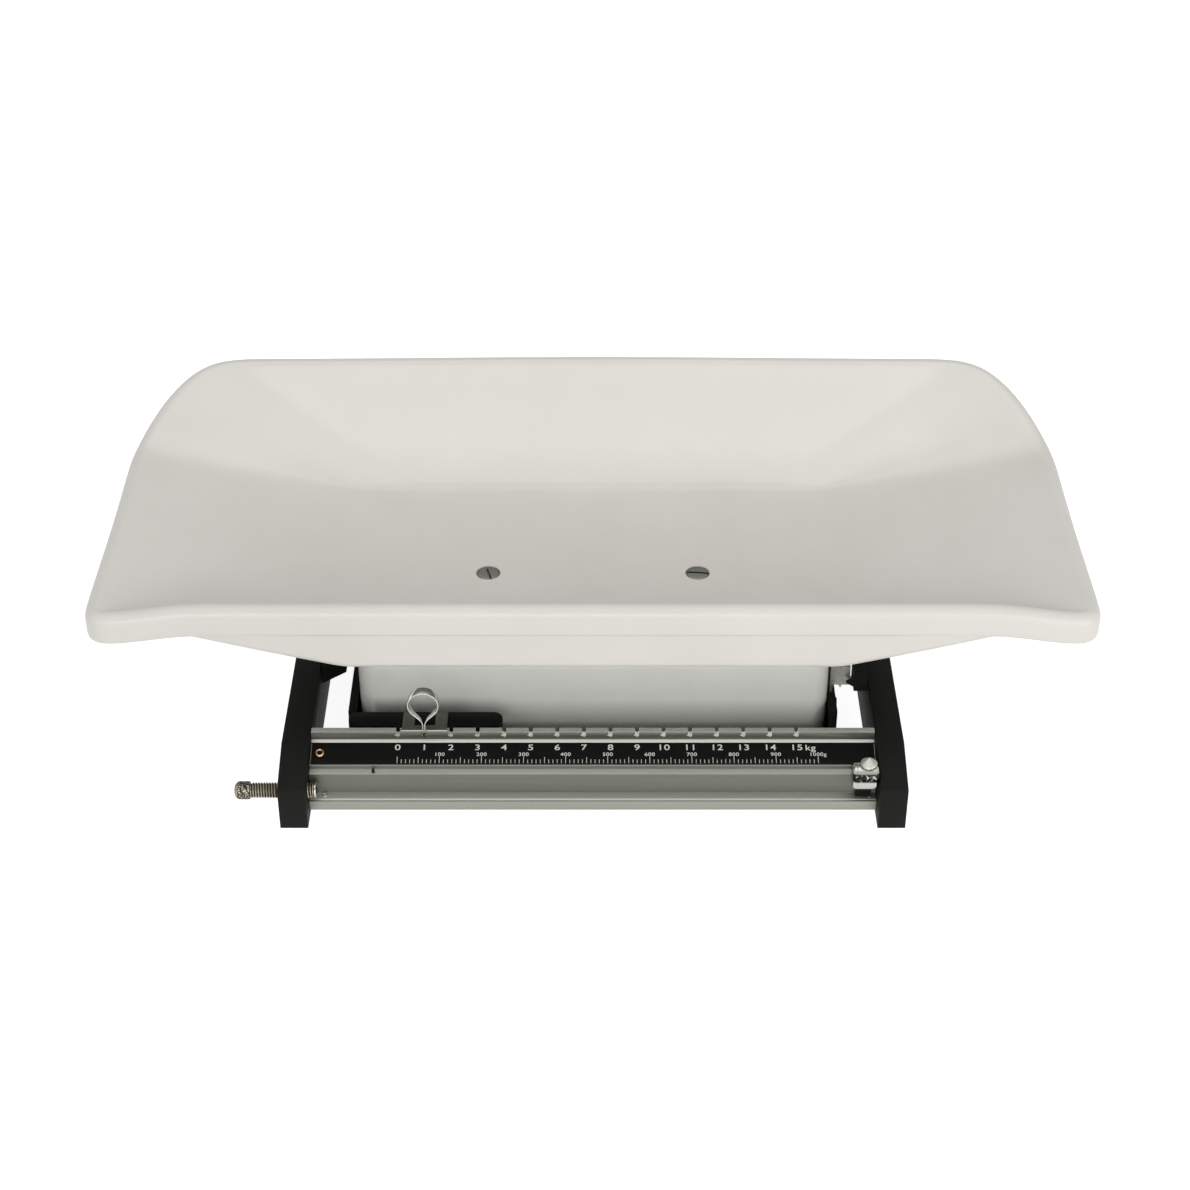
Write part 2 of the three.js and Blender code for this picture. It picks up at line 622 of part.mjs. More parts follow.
  // The index bracket stands inside the right wall. Its bent lugs stop the beam at both ends of its swing.
  const flange = block(
    BRACKET_INNER, BRACKET_FACE, BRACKET_FRONT, BRACKET_FRONT + BRACKET_DEPTH,
    BRACKET_BOTTOM, UPPER_STOP + LUG_THICKNESS,
  );
  const tipX = BRACKET_INNER + INDEX_TIP_REACH;
  const index = alongY([
    [BRACKET_INNER, CHASSIS_TOP + INDEX_SLANT_RISE], [tipX, CHASSIS_TOP + INDEX_TIP_RISE],
    [tipX + INDEX_STEP, CHASSIS_TOP + INDEX_STEP_RISE],
    [BRACKET_INNER + INDEX_WIDTH, CHASSIS_TOP + INDEX_STEP_RISE],
    [BRACKET_INNER + INDEX_WIDTH, CHASSIS_TOP + INDEX_RISE], [BRACKET_INNER, CHASSIS_TOP + INDEX_RISE],
  ], BRACKET_FRONT, BRACKET_FRONT + BRACKET_SHEET);
  const lug = (foot) => block(
    BRACKET_INNER, LUG_END, LUG_FRONT, LUG_FRONT + LUG_DEPTH, foot, foot + LUG_THICKNESS,
  );
  const bracket = cut(
    join(flange, index, lug(LOWER_STOP - LUG_THICKNESS), lug(UPPER_STOP)),
    rodX(
      BRACKET_SCREW_SHANK + FIT, BRACKET_INNER - 1, BRACKET_FACE + 1, BRACKET_SCREW_Y, BRACKET_SCREW_Z, 12,
    ),
  );
  piece(base, "index_bracket", bracket, GALVANISED);
  const screwFace = CHASSIS_HALF + FIT;
  const screwProfile = [
    [0, BRACKET_INNER - 2], [BRACKET_SCREW_SHANK, BRACKET_INNER - 2],
    [BRACKET_SCREW_SHANK, screwFace], [3.2, screwFace], [2.6, screwFace + 1.9], [0, screwFace + 2.1],
  ];
  piece(base, "index_bracket_screw", turnedX(screwProfile, 14, BRACKET_SCREW_Y, BRACKET_SCREW_Z), NICKEL);
}

// A gap in the pan's front or back wall round a knife of the beam.
function knifeSlot(y0, y1) {
  const half = KNIFE_HALF_WIDTH + KNIFE_PLAY;
  return block(
    BEAM_FULCRUM_X - half, BEAM_FULCRUM_X + half, y0, y1,
    BEAM_FULCRUM_Z - KNIFE_PLAY, BEAM_FULCRUM_Z + KNIFE_HEIGHT + SWING_PLAY,
  );
}

// A gap in the cover's lower edge round a bearing of the beam.
function bearingGap(y0, y1) {
  const half = BEARING_WIDTH / 2 + KNIFE_PLAY;
  return block(
    BEAM_FULCRUM_X - half, BEAM_FULCRUM_X + half, y0, y1,
    COVER_BOTTOM - 1, BEAM_FULCRUM_Z + KNIFE_HEIGHT + SWING_PLAY,
  );
}

// The window in a left wall through which the long lever's nose reaches the beam.
function noseSlot(x0, x1) {
  return block(
    x0, x1, NOSE_FRONT - KNIFE_PLAY, LONG_BACK + KNIFE_PLAY,
    UNDER_KNIFE_EDGE - KNIFE_PLAY, LEVER_TOP + KNIFE_PLAY,
  );
}

// A side arm: folded sheet steel, closed at the front and open underneath.
function armSolid(side) {
  const inner = side * ARM_INNER;
  const outer = side * ARM_OUTER;
  const low = Math.min(inner, outer);
  const high = Math.max(inner, outer);
  const shoulder = ARM_BOTTOM + ARM_FRONT_HEIGHT;
  const profile = (offset, bottom) => [
    [offset, bottom], [ARM_BACK - offset, bottom], [ARM_BACK - offset, ARM_TOP - offset],
    [ARM_SLOPE_RUN + offset / 3, ARM_TOP - offset], [offset, shoulder - offset / 3],
  ];
  return cut(
    alongX(profile(0, ARM_BOTTOM), low, high),
    alongX(profile(ARM_SHEET, ARM_BOTTOM - 1), low + ARM_SHEET, high - ARM_SHEET),
  );
}

// The weighbeam: two arms, the grooved rail and the rear bar make one stiff U that rocks on its knives.
function buildBeamFrame() {
  const frame = body("beam_frame");
  const bore = rodX(
    THREAD_RADIUS + BORE_FIT, -ARM_OUTER - 1, -ARM_INNER + 1, ADJUSTER_Y, ADJUSTER_Z, 20,
  );
  piece(frame, "left_arm", cut(armSolid(-1), bore), BLACK_PAINT);
  piece(frame, "right_arm", armSolid(1), BLACK_PAINT);

  const end = ARM_INNER - FIT;
  const beamSection = [
    [BEAM_FRONT, BEAM_BOTTOM], [RAIL_BACK, BEAM_BOTTOM], [RAIL_BACK, RAIL_TOP], [RAIL_FRONT, RAIL_TOP],
    [RAIL_FRONT, RAIL_FOOT], [PLATE_HIGH_Y + 0.3, RAIL_FOOT], [PLATE_HIGH_Y, PLATE_HIGH_Z],
    [PLATE_LOW_Y, PLATE_LOW_Z], [RIDGE_BACK, PLATE_LOW_Z], [RIDGE_BACK, RIDGE_TOP],
    [RIDGE_FRONT, RIDGE_TOP], [RIDGE_FRONT, CHANNEL_FLOOR], [BEAM_FRONT + 1.9, CHANNEL_FLOOR],
    [BEAM_FRONT + 1.4, CHANNEL_FLOOR - 0.6], [BEAM_FRONT + 0.9, CHANNEL_FLOOR], [BEAM_FRONT, CHANNEL_FLOOR],
  ];
  const hollow = [
    [BEAM_FRONT + BEAM_WALL, BEAM_BOTTOM + BEAM_WALL], [RAIL_BACK - BEAM_WALL, BEAM_BOTTOM + BEAM_WALL],
    [RAIL_BACK - BEAM_WALL, PLATE_HIGH_Z - 0.4], [PLATE_HIGH_Y - BEAM_WALL, PLATE_HIGH_Z - 2.3],
    [PLATE_LOW_Y + 1.2, PLATE_LOW_Z - BEAM_WALL], [RIDGE_FRONT + BEAM_WALL, RIDGE_TOP - 2],
    [RIDGE_FRONT + BEAM_WALL, CHANNEL_FLOOR - BEAM_WALL - 0.4],
    [BEAM_FRONT + BEAM_WALL, CHANNEL_FLOOR - BEAM_WALL - 0.4],
  ];
  const notches = Array.from({ length: NOTCH_COUNT }, (_, i) => {
    const x = NOTCH_ZERO_X + i * NOTCH_PITCH;
    return block(
      x - NOTCH_WIDTH / 2, x + NOTCH_WIDTH / 2, RAIL_FRONT - 1, RAIL_BACK + 1,
      RAIL_TOP - NOTCH_DEPTH, RAIL_TOP + 1,
    );
  });
  const stopHole = pillar(STOP_PIN_RADIUS + 0.15, RIDGE_TOP - 2.4, RIDGE_TOP + 1, STOP_PIN_X, STOP_PIN_Y, 10);
  const rail = cut(alongX(beamSection, -end, end), alongX(hollow, -end - 1, end + 1), stopHole, ...notches);
  piece(frame, "beam_rail", rail, ALUMINIUM);

  // The scale plate lies on the sloping face; the eyelet at its left end holds it.
  const slope = Math.atan2(PLATE_HIGH_Z - PLATE_LOW_Z, PLATE_HIGH_Y - PLATE_LOW_Y);
  const normal = [-Math.sin(slope), Math.cos(slope)];
  const lift = (y, z, h) => [y + normal[0] * h, z + normal[1] * h];
  const eyeletShare = 0.5;
  const eyeletY = THREE.MathUtils.lerp(PLATE_LOW_Y, PLATE_HIGH_Y, eyeletShare);
  const eyeletZ = THREE.MathUtils.lerp(PLATE_LOW_Z, PLATE_HIGH_Z, eyeletShare);
  const onSlope = (geometry, x) => geometry.rotateX(slope).translate(x, eyeletY, eyeletZ);
  const plate = alongX([
    lift(PLATE_LOW_Y + 0.4, PLATE_LOW_Z + 0.1, 0.15), lift(PLATE_HIGH_Y - 0.3, PLATE_HIGH_Z - 0.1, 0.15),
    lift(PLATE_HIGH_Y - 0.3, PLATE_HIGH_Z - 0.1, 0.15 + PLATE_THICKNESS),
    lift(PLATE_LOW_Y + 0.4, PLATE_LOW_Z + 0.1, 0.15 + PLATE_THICKNESS),
  ], -end + 0.5, end - 0.5);
  const plateHole = onSlope(pillar(1.9, -1, 3, 0, 0, 14), EYELET_X);
  piece(frame, "scale_plate", cut(plate, plateHole), PRINTED_BLACK);
  const eyelet = [
    [0, 0.2], [1.6, 0.2], [1.6, 1.1], [2.5, 1.1], [2.5, 1.5], [1.9, 1.9], [1.1, 1.7], [0.9, 0.9], [0, 0.9],
  ];
  piece(frame, "plate_eyelet", onSlope(turned(eyelet, 16, 0, 0), EYELET_X), BRASS);

  const stopPin = pillar(STOP_PIN_RADIUS, RIDGE_TOP - 2, RIDGE_TOP + 2.4, STOP_PIN_X, STOP_PIN_Y, 10);
  piece(frame, "poise_stop_pin", stopPin, HARD_STEEL);

  // Rear bar between the arms.
  const barTop = ARM_TOP - 4;
  const barBottom = barTop - CROSSBAR_HEIGHT;
  const barFront = ARM_BACK - CROSSBAR_DEPTH;
  const rearKnifeFront = CHASSIS_BACK - SHEET - BEARING_LENGTH;
  const socket = 6;
  const rearSeat = knife(BEAM_FULCRUM_X, barFront - 1, barFront + socket, BEAM_FULCRUM_Z, false, FIT);
  const crossbar = cut(block(-end, end, barFront, ARM_BACK - 1, barBottom, barTop), rearSeat);
  piece(frame, "rear_crossbar", crossbar, BLACK_PAINT);
  piece(
    frame, "rear_fulcrum_knife",
    knife(BEAM_FULCRUM_X, rearKnifeFront, barFront + socket - FIT, BEAM_FULCRUM_Z, false), HARD_STEEL,
  );

  // The front knife hangs from the rail on a cranked bracket that passes under the large poise.
  const bracketTop = BEAM_BOTTOM - FIT;
  const bracketBottom = bracketTop - 3;
  const uprightBack = CHASSIS_FRONT - 2;
  const uprightFront = uprightBack - 4;
  const uprightTop = 29;
  const bracketFront = 16;
  const bracketHalf = 9;
  const crank = alongX([
    [bracketFront, bracketBottom], [uprightBack, bracketBottom], [uprightBack, uprightTop],
    [uprightFront, uprightTop], [uprightFront, bracketTop], [bracketFront, bracketTop],
  ], BEAM_FULCRUM_X - bracketHalf, BEAM_FULCRUM_X + bracketHalf);
  const frontSeat = knife(BEAM_FULCRUM_X, uprightFront - 1, uprightBack + 1, BEAM_FULCRUM_Z, false, FIT);
  piece(frame, "front_fulcrum_bracket", cut(crank, frontSeat), BLACK_PAINT);
  piece(
    frame, "front_fulcrum_knife",
    knife(BEAM_FULCRUM_X, uprightFront, CHASSIS_FRONT + SHEET + BEARING_LENGTH, BEAM_FULCRUM_Z, false),
    HARD_STEEL,
  );

  // The load knife stands in a long boss on the left arm, where the long lever's nose pulls on the beam.
  const bossInner = BEAM_LOAD_X + 6;
  const bossFront = CHASSIS_FRONT + BOSS_INSET;
  const bossBack = LINK_Y - 1.5;
  const boss = alongZ([
    [-end, bossFront], [bossInner, bossFront + BOSS_SLANT], [bossInner, bossBack], [-end, bossBack],
  ], BEAM_LOAD_Z - KNIFE_HEIGHT - 2, BEAM_LOAD_Z + 5);
  const loadSeat = knife(BEAM_LOAD_X, LINK_Y - 9, LINK_Y, BEAM_LOAD_Z, true, FIT);
  piece(frame, "left_arm_boss", cut(boss, loadSeat), BLACK_PAINT);
  piece(
    frame, "beam_load_knife",
    knife(BEAM_LOAD_X, LINK_Y - 9 + FIT, LINK_Y + LINK_THICKNESS + 2, BEAM_LOAD_Z, true), HARD_STEEL,
  );

  // The balance pointer on the right arm, with its tip beside the index bracket.
  const tipZ = (POINTER_BOTTOM + POINTER_TOP) / 2 - 0.5;
  const tip = alongY([
    [POINTER_BLOCK_X + 1, tipZ - 3.5], [POINTER_BLOCK_X + 1, tipZ + 3.5], [POINTER_BLOCK_X - 4.6, tipZ],
  ], BRACKET_FRONT - 4, BRACKET_FRONT - 1.5);
  const pointerBlock = block(
    POINTER_BLOCK_X, end, BRACKET_FRONT - 4, BRACKET_FRONT + 12, POINTER_BOTTOM, POINTER_TOP,
  );
  piece(frame, "balance_pointer", join(pointerBlock, tip), BLACK_PAINT);
}

// The large poise: a steel weight behind the rail, its saddle on the rail and the ring to lift it by.
function buildLargePoise() {
  const poise = body("large_poise");
  const front = RAIL_BACK + 2.2;
  const r = WEIGHT_CORNER;
  const half = WEIGHT_LENGTH / 2;
  const outline = new THREE.Shape();
  outline.moveTo(NOTCH_X - half + 1, WEIGHT_BOTTOM);
  outline.lineTo(NOTCH_X + half - 1, WEIGHT_BOTTOM);
  outline.lineTo(NOTCH_X + half, WEIGHT_BOTTOM + 1);
  outline.lineTo(NOTCH_X + half, WEIGHT_TOP - r);
  outline.absarc(NOTCH_X + half - r, WEIGHT_TOP - r, r, 0, Math.PI / 2);
  outline.lineTo(NOTCH_X - half + r, WEIGHT_TOP);
  outline.absarc(NOTCH_X - half + r, WEIGHT_TOP - r, r, Math.PI / 2, Math.PI);
  outline.lineTo(NOTCH_X - half, WEIGHT_BOTTOM + 1);
  piece(poise, "poise_weight", alongY(outline, front, front + WEIGHT_THICKNESS), BLACK_PAINT);

  const shelf = RAIL_TOP + FIT;
  const shelfTop = shelf + SADDLE_SHEET;
  const backPlate = block(
    NOTCH_X - SADDLE_WIDTH / 2, NOTCH_X + SADDLE_WIDTH / 2,
    front - FIT - SADDLE_SHEET, front - FIT, RAIL_TOP - 9, WEIGHT_TOP - 1,
  );
  const shelfPlate = block(
    NOTCH_X - SADDLE_WIDTH / 2, NOTCH_X + SADDLE_WIDTH / 2, RAIL_FRONT, front - FIT, shelf, shelfTop,
  );
  piece(poise, "poise_saddle", join(backPlate, shelfPlate), GALVANISED);

  // The ring strip is bent round, crossed at the neck and folded down to a pointer.
  const neckZ = RING_CENTRE_Z - RING_NECK_DROP;
  const ringFoot = shelfTop + FIT;
  const tipFront = RAIL_FRONT - FIT - 1.4;
  const turnStart = -Math.PI / 2 + RING_OPENING;
  const turnEnd = Math.PI * 1.5 - RING_OPENING;
  const outer = new THREE.Shape();
  outer.moveTo(NOTCH_X + RING_NECK_HALF, ringFoot);
  outer.lineTo(NOTCH_X + RING_NECK_HALF, neckZ);
  outer.absarc(NOTCH_X, RING_CENTRE_Z, RING_RADIUS, turnStart, turnEnd);
  outer.lineTo(NOTCH_X - RING_NECK_HALF, neckZ);
  outer.lineTo(NOTCH_X - RING_NECK_HALF, ringFoot);
  const eye = new THREE.Shape();
  eye.moveTo(NOTCH_X, neckZ + RING_NECK_HALF);
  eye.absarc(NOTCH_X, RING_CENTRE_Z, RING_RADIUS - RING_STRIP, turnStart, turnEnd);
  const band = cut(
    alongY(outer, tipFront, tipFront + RING_BAND),
    alongY(eye, tipFront - 1, tipFront + RING_BAND + 1),
  );
  const shoulderZ = RING_TIP_Z + RING_TIP_SHOULDER;
  const tip = alongY([
    [NOTCH_X, RING_TIP_Z], [NOTCH_X + RING_TIP_HALF, shoulderZ], [NOTCH_X + RING_NECK_HALF, neckZ],
    [NOTCH_X - RING_NECK_HALF, neckZ], [NOTCH_X - RING_TIP_HALF, shoulderZ],
  ], tipFront, tipFront + 1.2);
  piece(poise, "poise_ring", join(band, tip), CHROME);
}

// The small poise: a chromed weight that slides along the ridge, with a knob and a shoe in the channel.
function buildSmallPoise() {
  const poise = body("small_poise");
  const x0 = SMALL_POISE_X - SMALL_POISE_LENGTH / 2;
  const x1 = SMALL_POISE_X + SMALL_POISE_LENGTH / 2;
  const r = SMALL_POISE_RADIUS;
  const chamfer = 0.7;
  const barrel = turnedX([
    [0, x0], [r - chamfer, x0], [r, x0 + chamfer], [r, x1 - chamfer], [r - chamfer, x1], [0, x1],
  ], 28, SMALL_POISE_Y, SMALL_POISE_Z);
  const shoulder = block(
    x0 - 1, x1 + 1, RIDGE_FRONT - FIT, SMALL_POISE_Y + r + 1, SMALL_POISE_Z - r - 1, RIDGE_TOP + FIT,
  );
  const stemRadius = 1.8;
  const stemFoot = SMALL_POISE_Z + r - 4;
  const socket = pillar(
    stemRadius + FIT, stemFoot - FIT, SMALL_POISE_Z + r + 2, SMALL_POISE_X, SMALL_POISE_Y, 12,
  );
  const shoeTop = SMALL_POISE_Z - 4;
  const shoeBack = RIDGE_FRONT - FIT;
  const shoeFront = shoeBack - 3;
  const shoeLeft = x0 + SHOE_INSET;
  const shoeRight = x1 - SHOE_INSET;
  const slot = block(
    shoeLeft - FIT, shoeRight + FIT, shoeFront - FIT, shoeBack + 1, SMALL_POISE_Z - r - 1, shoeTop + FIT,
  );
  const shoe = block(shoeLeft, shoeRight, shoeFront, shoeBack, CHANNEL_FLOOR + FIT, shoeTop);
  piece(poise, "small_poise_weight", cut(barrel, shoulder, socket, slot), CHROME);
  piece(poise, "small_poise_shoe", shoe, HARD_STEEL);
  const knobFoot = SMALL_POISE_Z + r + FIT;
  const knobTop = knobFoot + SMALL_KNOB_HEIGHT;
  const knob = [
    [0, stemFoot], [stemRadius, stemFoot], [stemRadius, knobFoot], [SMALL_KNOB_RADIUS - 0.4, knobFoot],
    [SMALL_KNOB_RADIUS, knobFoot + 0.5], [SMALL_KNOB_RADIUS, knobTop - 1.6], [0.8, knobTop], [0, knobTop],
  ];
  piece(poise, "small_poise_knob", turned(knob, 20, SMALL_POISE_X, SMALL_POISE_Y), CHROME);
}

// The zero adjuster: a screw through the left arm; its weight trims the empty beam.
function buildAdjuster() {
  const collar = body("adjuster_collar");
  const screw = body("adjuster_screw");
  const knobFace = -ARM_OUTER - THREAD_OUTSIDE;
  const inside = -ARM_INNER + THREAD_INSIDE;
  const pinRadius = 1.6;
  const root = THREAD_RADIUS - 0.8;
  const profile = [
    [0, knobFace - ADJUSTER_KNOB_LENGTH], [ADJUSTER_KNOB_RADIUS - 2.4, knobFace - ADJUSTER_KNOB_LENGTH],
    [ADJUSTER_KNOB_RADIUS - 0.7, knobFace - ADJUSTER_KNOB_LENGTH + 1],
    [ADJUSTER_KNOB_RADIUS, knobFace - ADJUSTER_KNOB_LENGTH + 2.4], [ADJUSTER_KNOB_RADIUS, knobFace],
    [root, knobFace],
  ];
  for (let x = knobFace; x < inside - THREAD_PITCH; x += THREAD_PITCH) {
    profile.push([root, x + 0.25], [THREAD_RADIUS, x + THREAD_PITCH / 2], [root, x + THREAD_PITCH - 0.05]);
  }
  profile.push(
    [root, inside], [pinRadius, inside], [pinRadius, inside + 3.4], [pinRadius + 0.9, inside + 3.4],
    [pinRadius + 0.6, inside + 4.2], [0, inside + 4.2],
  );
  piece(screw, "adjuster_screw", turnedX(profile, 16, ADJUSTER_Y, ADJUSTER_Z), NICKEL);
  const ring = [
    [pinRadius + FIT, inside + FIT], [THREAD_RADIUS, inside + FIT], [THREAD_RADIUS, inside + 2.4],
    [THREAD_RADIUS - 0.6, inside + 3], [pinRadius + FIT, inside + 3], [pinRadius + FIT, inside + FIT],
  ];
  piece(collar, "adjuster_collar", turnedX(ring, 20, ADJUSTER_Y, ADJUSTER_Z), NICKEL);
}

// Two levers gather the tray's load: the long one pulls on the beam, the short one on the long one.
function buildLevers() {
  const long = body("long_lever");
  const short = body("short_lever");
  const near = LEVER_LOAD_X - LEVER_HEAD_MARGIN;
  const far = LEVER_FULCRUM_X + LEVER_HEAD_MARGIN;
  const noseX = BEAM_LOAD_X - 4;
  const tailX = 6;
  const tailFront = SHORT_BACK - LEVER_BAR_WIDTH;
  const opening = (x0, x1) => block(
    x0 + LEVER_STRIP, x1 - LEVER_STRIP, LEVER_FRONT + LEVER_CROSS_STRIP, SHORT_BACK - LEVER_CROSS_STRIP,
    LEVER_BOTTOM - 1, LEVER_TOP + 1,
  );
  const longPlate = alongZ([
    [noseX, LONG_BACK], [noseX, NOSE_FRONT], [near - LEVER_GUSSET, NOSE_FRONT],
    [near, NOSE_FRONT - LEVER_GUSSET], [near, LEVER_FRONT], [far, LEVER_FRONT], [far, LONG_BACK],
  ], LEVER_BOTTOM, LEVER_TOP);
  const shortPlate = alongZ([
    [-far, LEVER_FRONT], [-near, LEVER_FRONT], [-near, tailFront - LEVER_GUSSET],
    [LEVER_GUSSET - near, tailFront], [tailX, tailFront], [tailX, SHORT_BACK], [-far, SHORT_BACK],
  ], LEVER_BOTTOM, LEVER_TOP);
  const pin = (group, name, x, y0, y1, up) => {
    piece(group, name, knife(x, y0, y1, up ? OVER_KNIFE_EDGE : UNDER_KNIFE_EDGE, up), HARD_STEEL);
  };
  piece(long, "long_lever", cut(longPlate, opening(near, far)), LEVER_STEEL);
  pin(long, "long_fulcrum_knife", LEVER_FULCRUM_X, LEVER_FRONT - 2, LONG_BACK + 2, false);
  pin(long, "long_load_knife", LEVER_LOAD_X, LEVER_FRONT + 2, LONG_BACK - 2, true);
  pin(long, "nose_knife", BEAM_LOAD_X, LINK_Y - 2, LONG_BACK - 2, false);
  pin(long, "long_link_knife", 0, LINK_Y - 1, LONG_BACK - 2, true);
  piece(short, "short_lever", cut(shortPlate, opening(-far, -near)), LEVER_STEEL);
  pin(short, "short_fulcrum_knife", -LEVER_FULCRUM_X, LEVER_FRONT - 2, SHORT_BACK + 2, false);
  pin(short, "short_load_knife", -LEVER_LOAD_X, LEVER_FRONT + 2, SHORT_BACK - 2, true);
  pin(short, "short_link_knife", 0, tailFront + 2, LINK_Y + LINK_THICKNESS + 1, false);

  // A link is a flat steel loop that hangs on an upper knife and holds up a lower one.
  const link = (name, x, top) => {
    const half = KNIFE_HALF_WIDTH + LINK_PLAY;
    const outside = half + LINK_RIM;
    const low = UNDER_KNIFE_EDGE - FIT;
    const high = top + FIT;
    const loop = cut(
      block(x - outside, x + outside, LINK_Y, LINK_Y + LINK_THICKNESS, low - LINK_END, high + LINK_END),
      block(x - half, x + half, LINK_Y - 1, LINK_Y + LINK_THICKNESS + 1, low, high),
    );
    piece(body(name), name, loop, HARD_STEEL);
  };
  link("nose_link", BEAM_LOAD_X, BEAM_LOAD_Z);
  link("centre_link", 0, OVER_KNIFE_EDGE);
}

// The platform: two grooved bearings on the load knives, a carrier plate, two posts and the tray.
function buildPlatform() {
  const platform = body("platform");
  const seat = OVER_KNIFE_EDGE + FIT;
  const bearingTop = seat + 5;
  const carrierTop = bearingTop + FIT + CARRIER_THICKNESS;
  const washerThickness = 2;
  const washerTop = TRAY_BOTTOM - FIT;
  const postTop = washerTop - washerThickness - FIT;
  const carrierBearing = (name, x, y1) => {
    const wide = KNIFE_HALF_WIDTH + 1.8;
    const half = BEARING_WIDTH / 2 - 0.5;
    const lip = seat - KNIFE_HEIGHT + 1;
    const section = [
      [x - half, lip], [x - wide, lip], [x, seat], [x + wide, lip], [x + half, lip],
      [x + half, bearingTop], [x - half, bearingTop],
    ];
    piece(platform, name, alongY(section, LEVER_FRONT + CARRIER_BEARING_INSET, y1), HARD_STEEL);
  };
  carrierBearing("carrier_bearing_right", LEVER_LOAD_X, LONG_BACK - 2 * CARRIER_BEARING_INSET);
  carrierBearing("carrier_bearing_left", -LEVER_LOAD_X, SHORT_BACK - CARRIER_BEARING_INSET);
  const carrierHalf = LEVER_LOAD_X + CARRIER_MARGIN;
  const about = (halfLength, depth, z0, z1) => block(
    -halfLength, halfLength, TRAY_SCREW_Y - depth / 2, TRAY_SCREW_Y + depth / 2, z0, z1,
  );
  const carrier = cut(
    about(carrierHalf, CARRIER_DEPTH, bearingTop + FIT, carrierTop),
    about(CARRIER_WINDOW_LENGTH / 2, CARRIER_WINDOW_DEPTH, bearingTop - 1, carrierTop + 1),
  );
  piece(platform, "carrier_plate", carrier, LEVER_STEEL);

  const holes = [];
  [["left", -1], ["right", 1]].forEach(([side, sign]) => {
    const x = (sign * TRAY_SCREW_SPACING) / 2;
    const y = TRAY_SCREW_Y;
    const shank = TRAY_SCREW_SHANK_RADIUS;
    const holeDepth = 14;
    const post = [
      [0, carrierTop + FIT], [POST_RADIUS + POST_FOOT, carrierTop + FIT],
      [POST_RADIUS + POST_FOOT, carrierTop + 3],
      [POST_RADIUS, carrierTop + 4], [POST_RADIUS, postTop], [shank + FIT, postTop],
      [shank + FIT, postTop - holeDepth], [0, postTop - holeDepth],
    ];
    piece(platform, "tray_post_" + side, turned(post, 24, x, y), GALVANISED);
    const washer = [
      [shank + FIT, washerTop - washerThickness], [POST_RADIUS + 4, washerTop - washerThickness],
      [POST_RADIUS + 4, washerTop], [shank + FIT, washerTop], [shank + FIT, washerTop - washerThickness],
    ];
    piece(platform, "rubber_washer_" + side, turned(washer, 24, x, y), RUBBER);
    const headFoot = TRAY_FLOOR_TOP - TRAY_RECESS_DEPTH + FIT;
    const head = [
      [0, postTop - holeDepth + 1.5], [shank, postTop - holeDepth + 1.5], [shank, headFoot],
      [TRAY_SCREW_HEAD_RADIUS, headFoot], [TRAY_SCREW_HEAD_RADIUS, headFoot + 1.1],
      [TRAY_SCREW_HEAD_RADIUS - 1, headFoot + 1.6], [0, headFoot + 1.9],
    ];
    const slotHalf = 0.6;
    const slotLong = TRAY_SCREW_HEAD_RADIUS + 1;
    const [halfX, halfY] = sign < 0 ? [slotHalf, slotLong] : [slotLong, slotHalf];
    const slot = block(x - halfX, x + halfX, y - halfY, y + halfY, headFoot + 0.8, headFoot + 3);
    piece(platform, "tray_screw_" + side, cut(turned(head, 24, x, y), slot), CHROME);
    holes.push(pillar(shank + FIT, TRAY_BOTTOM - 1, TRAY_FLOOR_TOP + 1, x, y, 16));
    holes.push(pillar(TRAY_RECESS_RADIUS, TRAY_FLOOR_TOP - TRAY_RECESS_DEPTH, TRAY_FLOOR_TOP + 1, x, y, 24));
  });
  piece(platform, "tray", cut(trayShell(), ...holes), WHITE_PLASTIC);
}

buildBase();
buildBeamFrame();
buildLargePoise();
buildSmallPoise();
buildAdjuster();
buildLevers();
buildPlatform();

assembly.position.y = -TRAY_BACK / 2;
const group = new THREE.Group();
group.add(assembly);

export default group;
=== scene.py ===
"""A mechanical baby scale with a white moulded tray and a weighbeam with two sliding poises.

Shapes are drawn in millimetres, with Y measured from the front faces of the side arms.
"""

import math

import bmesh
import bpy
from mathutils import Matrix, Vector


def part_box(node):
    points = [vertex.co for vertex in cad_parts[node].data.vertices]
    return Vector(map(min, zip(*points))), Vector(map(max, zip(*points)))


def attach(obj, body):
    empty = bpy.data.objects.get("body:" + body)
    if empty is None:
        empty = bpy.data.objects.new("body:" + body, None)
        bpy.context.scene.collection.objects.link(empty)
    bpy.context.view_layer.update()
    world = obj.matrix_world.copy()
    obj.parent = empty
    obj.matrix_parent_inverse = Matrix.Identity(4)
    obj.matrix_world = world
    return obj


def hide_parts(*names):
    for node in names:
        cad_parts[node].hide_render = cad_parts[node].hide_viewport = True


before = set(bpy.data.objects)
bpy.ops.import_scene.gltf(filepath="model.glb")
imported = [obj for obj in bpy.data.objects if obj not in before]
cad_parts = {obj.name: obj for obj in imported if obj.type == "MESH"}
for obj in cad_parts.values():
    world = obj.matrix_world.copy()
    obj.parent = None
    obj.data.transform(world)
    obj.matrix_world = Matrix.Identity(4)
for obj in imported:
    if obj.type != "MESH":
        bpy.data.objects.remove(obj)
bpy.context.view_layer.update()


# Chassis pan
# A pan folded from steel sheet, with high sides whose top edges are turned in and low front and back
# walls, notched for the beam's knives. A slot in its left side lets the long lever's nose out.


def linear(code):
    """An sRGB hex colour as the linear numbers that a shader works in."""
    channels = [int(code[i:i + 2], 16) / 255 for i in (0, 2, 4)]
    return (*[c / 12.92 if c <= 0.04045 else ((c + 0.055) / 1.055) ** 2.4 for c in channels], 1)


